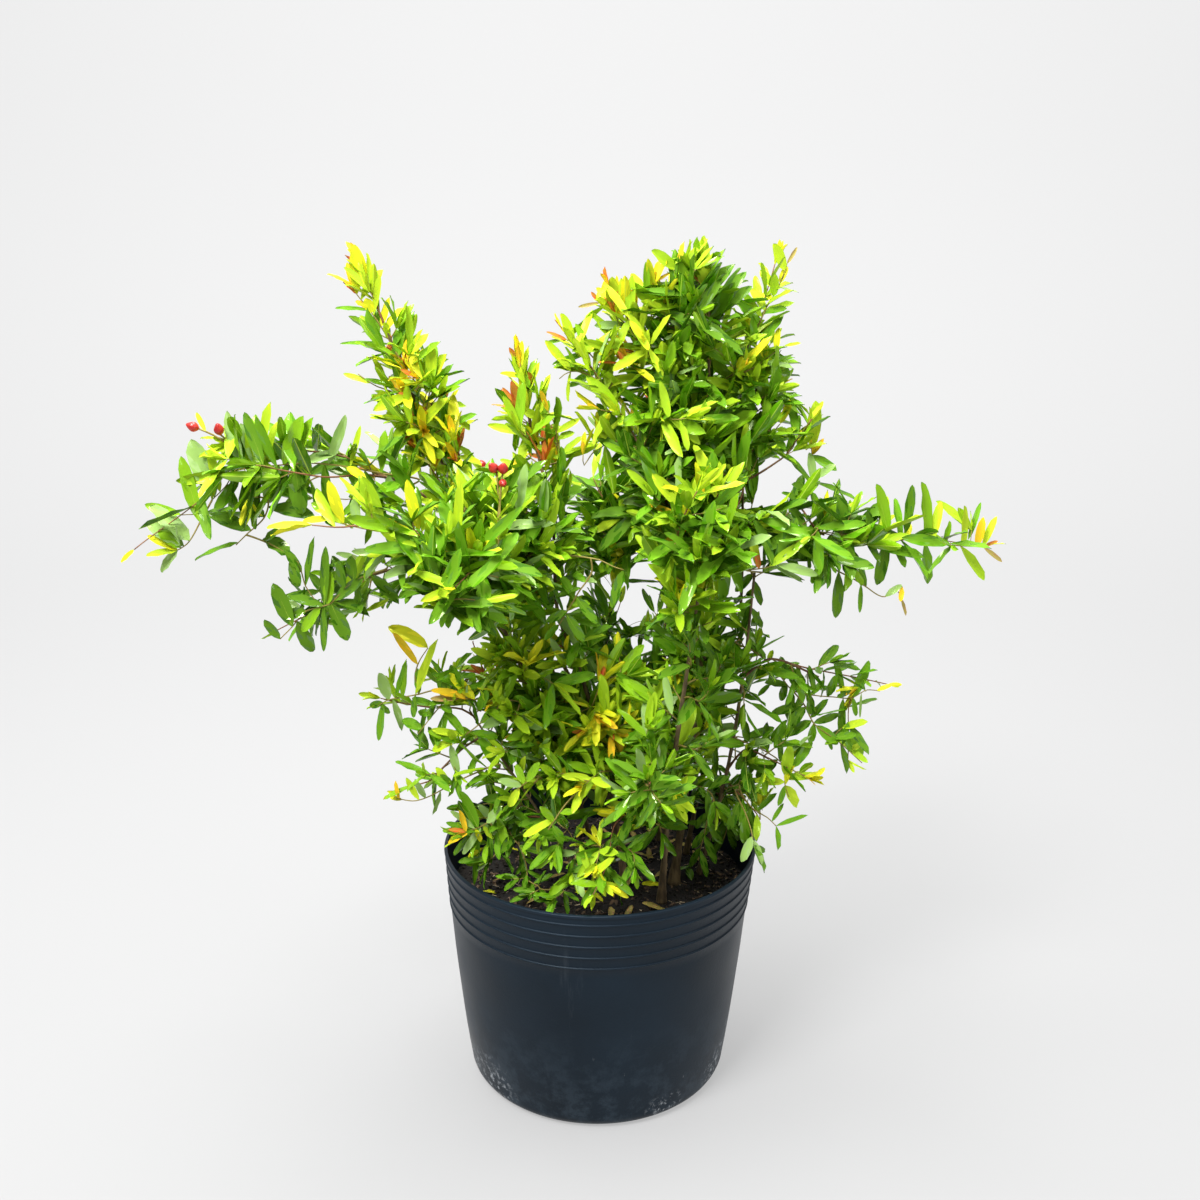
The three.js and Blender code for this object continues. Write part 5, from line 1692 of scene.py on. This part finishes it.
def place_at(u, v, back):
    """The place that shows at a pixel of the camera's picture, at this y in mm."""
    slope = (VIEW_SIZE / 2 - v) / FOCAL
    away = back * MM - CAMERA_PLACE.y
    rise = away * (slope * AHEAD - DOWN) / (AHEAD + slope * DOWN)
    depth = away * AHEAD - rise * DOWN
    return Vector(((u - VIEW_SIZE / 2) / FOCAL * depth, back * MM, CAMERA_PLACE.z + rise))


def lay_leaf(leaves, rng, line, foot, tip, tint, width):
    """One leaf of a spray, on its twig or on a stalk from it."""
    joint = min(line, key=lambda point: math.dist(seen_at(point), foot))
    base = place_at(*foot, joint.y / MM)
    if (base - joint).length > STALK:
        twigs.append(([joint, joint.lerp(base, 0.5) + UP * MM, base], 0.5 * MM, 0.4 * MM, 1))
    else:
        base = joint
    way = place_at(*tip, joint.y / MM + rng.uniform(-TIP_DEPTH, TIP_DEPTH)) - base
    length = way.length
    way = way.normalized()
    face = Vector((0, -0.75, 0.6)) + scatter_vector(rng, 0.2)
    face = (face - way * face.dot(way)).normalized()
    leaves.append((base, way, face, length, width * PIXEL, rng.randrange(SHAPES), tint))


rng = chance("sprays")
for name, stops, groups in SPRAYS:
    stops = [place_at(*stop) for stop in stops]
    place, ahead, radius, age = wood.foothold(stops[0], climb=0.5)
    line = smooth_line([place, *stops] if (place - stops[0]).length > 2 * MM else stops, LIMB_STEP)
    twigs.append((line, 0.9 * MM, THIN_TIP, 1))
    wood.note(spaced(line, STEP), THIN_TWIG, age)
    for tint, rows in groups.items():
        for foot_u, foot_v, tip_u, tip_v, width in rows:
            lay_leaf(foliage[name], rng, line, (foot_u, foot_v), (tip_u, tip_v), tint, width)
print("sprays:", len(SPRAYS))
print("leaves in all:", leaf_count())
lengths = [leaf[3] for leaves in foliage.values() for leaf in leaves]
print("middle leaf length mm:", round(1000 * sorted(lengths)[len(lengths) // 2], 1))

# %% [markdown]
# ## Where the buds sit
# The flower buds stand at the tips of short stalks, alone or in pairs and threes. A stalk
# is one more thin twig from the nearest wood. The bud itself is made further down.

# %% Bud stalks
BUDS = [
    # place of the foot, the way it points, length
    ((-321, -111, 644), (-0.85, -0.15, 0.35), 10.5),
    ((-305, -109, 638), (-0.05, -0.35, 0.92), 10.5),
    ((-84, -102, 606), (-0.45, -0.35, 0.60), 10.5),
    ((-79, -104, 606), (0.12, -0.45, 0.70), 11.0),
    ((-79, -106, 599), (0.25, -0.80, -0.20), 8.5),
    ((-122, 206, 556), (-0.35, 0.70, 0.60), 12.5),
    ((150, 240, 584), (0.30, 0.75, 0.60), 12.0),
    ((158, 236, 580), (0.65, 0.55, 0.35), 10.5),
    ((48, 146, 640), (0.10, 0.60, 0.80), 12.0),
]
BRACT = 0.6  # the leaves on a bud's stalk are this much smaller
buds = []
rng = chance("stalks")
for foot_place, way, size in BUDS:
    tip = Vector(foot_place) * MM
    place, ahead, radius, age = wood.foothold(tip, 4 * MM, climb=0.6)
    line = led_through(place, ahead, [place.lerp(tip, 0.6), tip], rng)
    twigs.append((line, min(radius, 0.9 * MM), 0.8 * MM, 1))
    buds.append((line[-1], Vector(way).normalized(), size * MM))
    bracts = []
    dress(bracts, rng, line, 30 * MM, 0.45, FREE, tip_youth_and_light=0.1)
    for base, lead, face, length, width, shape, tint in bracts:
        leaf = (base, lead, face, length * BRACT, width * BRACT, shape, tint)
        foliage["crown_left"].append(leaf)
print("buds:", len(buds))

# %% [markdown]
# A bud stands free of the leaves, so that it shows from the front. Leaves that come too
# near to one, or that stand between it and the camera, are taken off.

# %% Clear the buds
BUD_CLEARANCE = 9  # in the camera's pixels
BUD_ROOM = 7 * MM  # no leaf comes nearer to the heart of a bud


def hides_bud(leaf):
    """True where a leaf touches a bud or hides it from the camera."""
    place, way, length = leaf[0], leaf[1], leaf[3]
    for base, lead, size in buds:
        heart = base + lead * size * 0.5
        for share in (0.25, 0.5, 0.75, 1):
            spot = place + way * length * share
            if (spot - heart).length < BUD_ROOM:
                return True
            u, v = seen_at(spot)
            bud_u, bud_v = seen_at(heart)
            near = math.hypot(u - bud_u, v - bud_v) < BUD_CLEARANCE
            if near and spot.y < heart.y < 0:
                return True
    return False


before = leaf_count()
foliage = {name: [leaf for leaf in leaves if not hides_bud(leaf)] for name, leaves in foliage.items()}
print("leaves taken off:", before - leaf_count())

# %% [markdown]
# ## Leaf shapes
# A leaf is long and narrow with a blunt tip: a closed thin body with a folded upper face
# in five strips, the middle one the pale rib, and a plainer underside in two. A grid gives
# the strips. Eight shapes with other folds, bows, waves and twists are enough, because
# every copy is also scaled and turned.

# %% Leaf stamps
OUTLINE = ((0, 0), (0.05, 0.26), (0.17, 0.70), (0.38, 0.97), (0.62, 1), (0.82, 0.80), (0.95, 0.40), (1, 0))
RIB_HALF = 0.12
UPPER = [-1, -0.48, -RIB_HALF, RIB_HALF, 0.48, 1]
LOWER = [-1, 0, 1]
BLADE, RIB, UNDERSIDE = 0, 1, 2


def leaf_stamp(fold, bow, wave, twist, sink):
    """One leaf shape: x runs along it, y across it and z out of its face."""
    leaf = bmesh.new()
    for strips, under in ((UPPER, False), (LOWER, True)):
        rows = []
        for along, _ in OUTLINE:
            rows.append([leaf.verts.new((along, across, 0)) for across in strips])
        for near, next_row in zip(rows, rows[1:]):
            for k in range(len(strips) - 1):
                face = leaf.faces.new((near[k], next_row[k], next_row[k + 1], near[k + 1]))
                face.material_index = UNDERSIDE if under else (RIB if k == 2 else BLADE)
        for row, (along, half_width) in zip(rows, OUTLINE):
            for vert, across in zip(row, strips):
                in_rib = not under and abs(across) <= RIB_HALF
                reach = half_width * across
                if in_rib:
                    reach = across * (1 - 0.6 * along) if 0 < along < 1 else 0
                lift = fold * abs(reach) ** 1.25 * 0.5
                lift += wave * math.sin(along * 15 + (2 if across > 0 else 0)) * abs(across) ** 3
                middle_drop = (0.035 if under else 0.008) * (1 - across * across) * (0 < along < 1)
                height = lift - middle_drop - (sink if in_rib and 0 < along < 1 else 0)
                turn = twist * along
                y = reach * math.cos(turn) - height * math.sin(turn)
                z = reach * math.sin(turn) + height * math.cos(turn)
                vert.co = (along, y, z)
    for face in leaf.faces:
        if face.material_index == UNDERSIDE:
            face.normal_flip()
    bmesh.ops.remove_doubles(leaf, verts=leaf.verts, dist=1e-4)
    for vert in leaf.verts:
        along = vert.co.x
        vert.co.x = along * (1 - abs(bow) * 0.25 * along)
        vert.co.z += -bow * along * along * 4
    leaf.normal_update()
    return Stamp(leaf)


rng = chance("leaf shapes")
stamps = []
for k in range(SHAPES):
    stamps.append(leaf_stamp(fold=rng.uniform(0.5, 1.35), bow=rng.uniform(-0.10, 0.45),
                             wave=rng.uniform(0.09, 0.22), twist=rng.uniform(-0.5, 0.5), sink=0.05))
print("faces of a leaf:", len(stamps[0].sizes))

# %% [markdown]
# The tints are plain colours on a waxy skin. The rib is paler than the blade, and so is
# the underside, which has no gloss.

# %% Leaf finishes
GLOSS_TINT = (0.85, 1, 0.45, 1)
COAT_ROUGHNESS = 0.16


def leaf_finish(name, colour, roughness, specular, coat=0.0):
    """A plain colour with a gloss of its own."""
    made = bpy.data.materials.new(name)
    made.use_nodes = True
    shader = made.node_tree.nodes["Principled BSDF"]
    shader.inputs["Base Color"].default_value = (*colour, 1)
    shader.inputs["Roughness"].default_value = roughness
    shader.inputs["Specular IOR Level"].default_value = specular
    shader.inputs["Specular Tint"].default_value = GLOSS_TINT
    shader.inputs["Coat Weight"].default_value = coat
    shader.inputs["Coat Roughness"].default_value = COAT_ROUGHNESS
    return made


leaf_paints = []
for name, colour, roughness, _ in TINTS:
    rib = tuple(0.38 * c + 0.62 * p for c, p in zip(colour, (0.56, 0.70, 0.09)))
    back = tuple(0.68 * c + 0.32 * p for c, p in zip(colour, (0.24, 0.42, 0.03)))
    waxy = roughness < 0.28
    leaf_paints.append(leaf_finish(name, colour, roughness, 0.9 if waxy else 0.5, 0.45 * waxy))
    leaf_paints.append(leaf_finish(name + "_rib", rib, roughness, 0.30))
    leaf_paints.append(leaf_finish(name + "_back", back, 0.55, 0.18))


def leaf_axes(way, face, length, width):
    """Scaled axes of a leaf: along it, across it and out of its face."""
    across = face.cross(way)
    return np.array([way * length, across * width / 2, face * width / 2])


SKY_SHEEN_SHARE = 0.07  # share of the green leaves that take the pale tint of a painted sky reflection
rng = chance("sky sheen leaves")
for name, leaves in foliage.items():
    heap = Joiner()
    for place, way, face, length, width, shape, tint in leaves:
        # A few green leaves take the painted sky reflection in place of their green.
        if GREEN <= tint <= MID and rng.random() < SKY_SHEEN_SHARE:
            tint = SKY_SHEEN
        lay(heap, stamps[shape], place, leaf_axes(way, face, length, width), 3 * tint)
    piece = link("foliage_" + name, heap.mesh("foliage_" + name, leaf_paints))
    piece.data.set_sharp_from_angle(angle=math.radians(80))
    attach(piece, "root")
    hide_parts("leaves_" + name)
print("leaf materials:", len(leaf_paints))

# %% [markdown]
# ## Twigs
# All the grown shoots are thin tapering tubes with five sides. Leaders are red-brown and
# woody, side shoots are paler and partly green.

# %% Twig mesh
TWIG_SIDES = 5


def twig_stamp(line, foot, tip):
    """Places and faces of one tapering tube with a closed tip."""
    across = frames_along(line)
    places = []
    for k, place in enumerate(line):
        along = k / (len(line) - 1)
        radius = foot + (tip - foot) * along
        for j in range(TWIG_SIDES):
            turn = 2 * math.pi * j / TWIG_SIDES
            places.append(place + outward(across[k], turn) * radius)
    faces = []
    for k in range(len(line) - 1):
        for j in range(TWIG_SIDES):
            a, b = k * TWIG_SIDES + j, k * TWIG_SIDES + (j + 1) % TWIG_SIDES
            faces.append((a, b, b + TWIG_SIDES, a + TWIG_SIDES))
    last = (len(line) - 1) * TWIG_SIDES
    faces.append(tuple(last + j for j in range(TWIG_SIDES)))
    faces.append(tuple(range(TWIG_SIDES - 1, -1, -1)))
    return np.array([p[:] for p in places]), faces


twig_heap = Joiner()
for line, foot, tip, finish in twigs:
    places, faces = twig_stamp(line, foot, tip)
    corners = np.array([corner for face in faces for corner in face])
    sizes = np.array([len(face) for face in faces])
    twig_heap.add(places, corners, sizes, np.full(len(faces), finish))
leader_bark = leaf_finish("twig_leader", (0.21, 0.085, 0.04), 0.55, 0.4)
shoot_bark = leaf_finish("twig_shoot", (0.26, 0.20, 0.05), 0.5, 0.4)
twig_piece = link("twigs", twig_heap.mesh("twigs", [leader_bark, shoot_bark]))
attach(twig_piece, "root")
print("twig triangles:", twig_heap.triangles())

# %% [markdown]
# ## Flower buds
# A pomegranate bud is a waxy red urn: a thick calyx on a short neck, swollen at its lower
# half, with five or six lobes that meet in a blunt point. The urn is turned from an
# outline, its lobes are ribs that grow towards the tip, and the wax is a smooth, mottled
# red with a small highlight.

# %% Buds
BUD_OUTLINE = [(0, 0), (0.11, 0.01), (0.17, 0.06), (0.28, 0.16), (0.37, 0.30), (0.395, 0.45),
               (0.36, 0.60), (0.29, 0.73), (0.22, 0.83), (0.15, 0.92), (0.07, 0.98), (0, 1)]
BUD_STEPS = 18
BUD_LOBES = 6

bud_shape = turned(BUD_OUTLINE, BUD_STEPS)
for vert in bud_shape.verts:
    turn = math.atan2(vert.co.y, vert.co.x)
    groove = 1 - 0.22 * max(0, vert.co.z - 0.5) * (1 - math.cos(BUD_LOBES * turn))
    vert.co.x *= groove
    vert.co.y *= groove
bud_stamp = Stamp(bud_shape)
bud_heap = Joiner()
for place, way, size in buds:
    side, other = frames_along([place, place + way])[0]
    lay(bud_heap, bud_stamp, place - way * 0.4 * MM, [side * size, other * size, way * size])
bud_tones = (130, (0.30, 0.012, 0.010), (0.62, 0.040, 0.024))
bud_wax = mottled_finish("bud_wax", 0.26, bud_tones, (1500, 0.25, 0.0004))
bud_piece = link("buds", bud_heap.mesh("buds", [bud_wax]))
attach(bud_piece, "root")
print("bud triangles:", bud_heap.triangles())

# %% [markdown]
# ## Fallen leaves
# A few old leaves lie on the soil, most of them dry. They use the same leaf shapes, laid
# flat on the bumps.

# %% Fallen leaves
FALLEN_COUNT = 58
FALLEN_REACH = 132 * MM  # tips stay this near the axis, clear of the wall
FALLEN_TINTS = [DRY] * 6 + [YELLOW, DEEP]
rng = chance("fallen leaves")
fallen = Joiner()
for _ in range(FALLEN_COUNT):
    x, y, z = scattered(rng, 124 * MM)
    turn = rng.uniform(0, 2 * math.pi)
    way = Vector((math.cos(turn), math.sin(turn), rng.uniform(-0.05, 0.12))).normalized()
    face = (UP + scatter_vector(rng, 0.18)).normalized()
    length = rng.uniform(14, 26) * MM
    tip = Vector((x, y, z)) + way * length
    if math.hypot(tip.x, tip.y) > FALLEN_REACH:
        continue
    stamp = rng.choice(stamps)
    tint = rng.choice(FALLEN_TINTS)
    axes = leaf_axes(way, face, length, length * rng.uniform(0.24, 0.32))
    lay(fallen, stamp, (x, y, z + 3 * MM), axes, 3 * tint)
fallen_piece = link("fallen_leaves", fallen.mesh("fallen_leaves", leaf_paints))
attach(fallen_piece, "root")
print("fallen leaves:", fallen.copies)
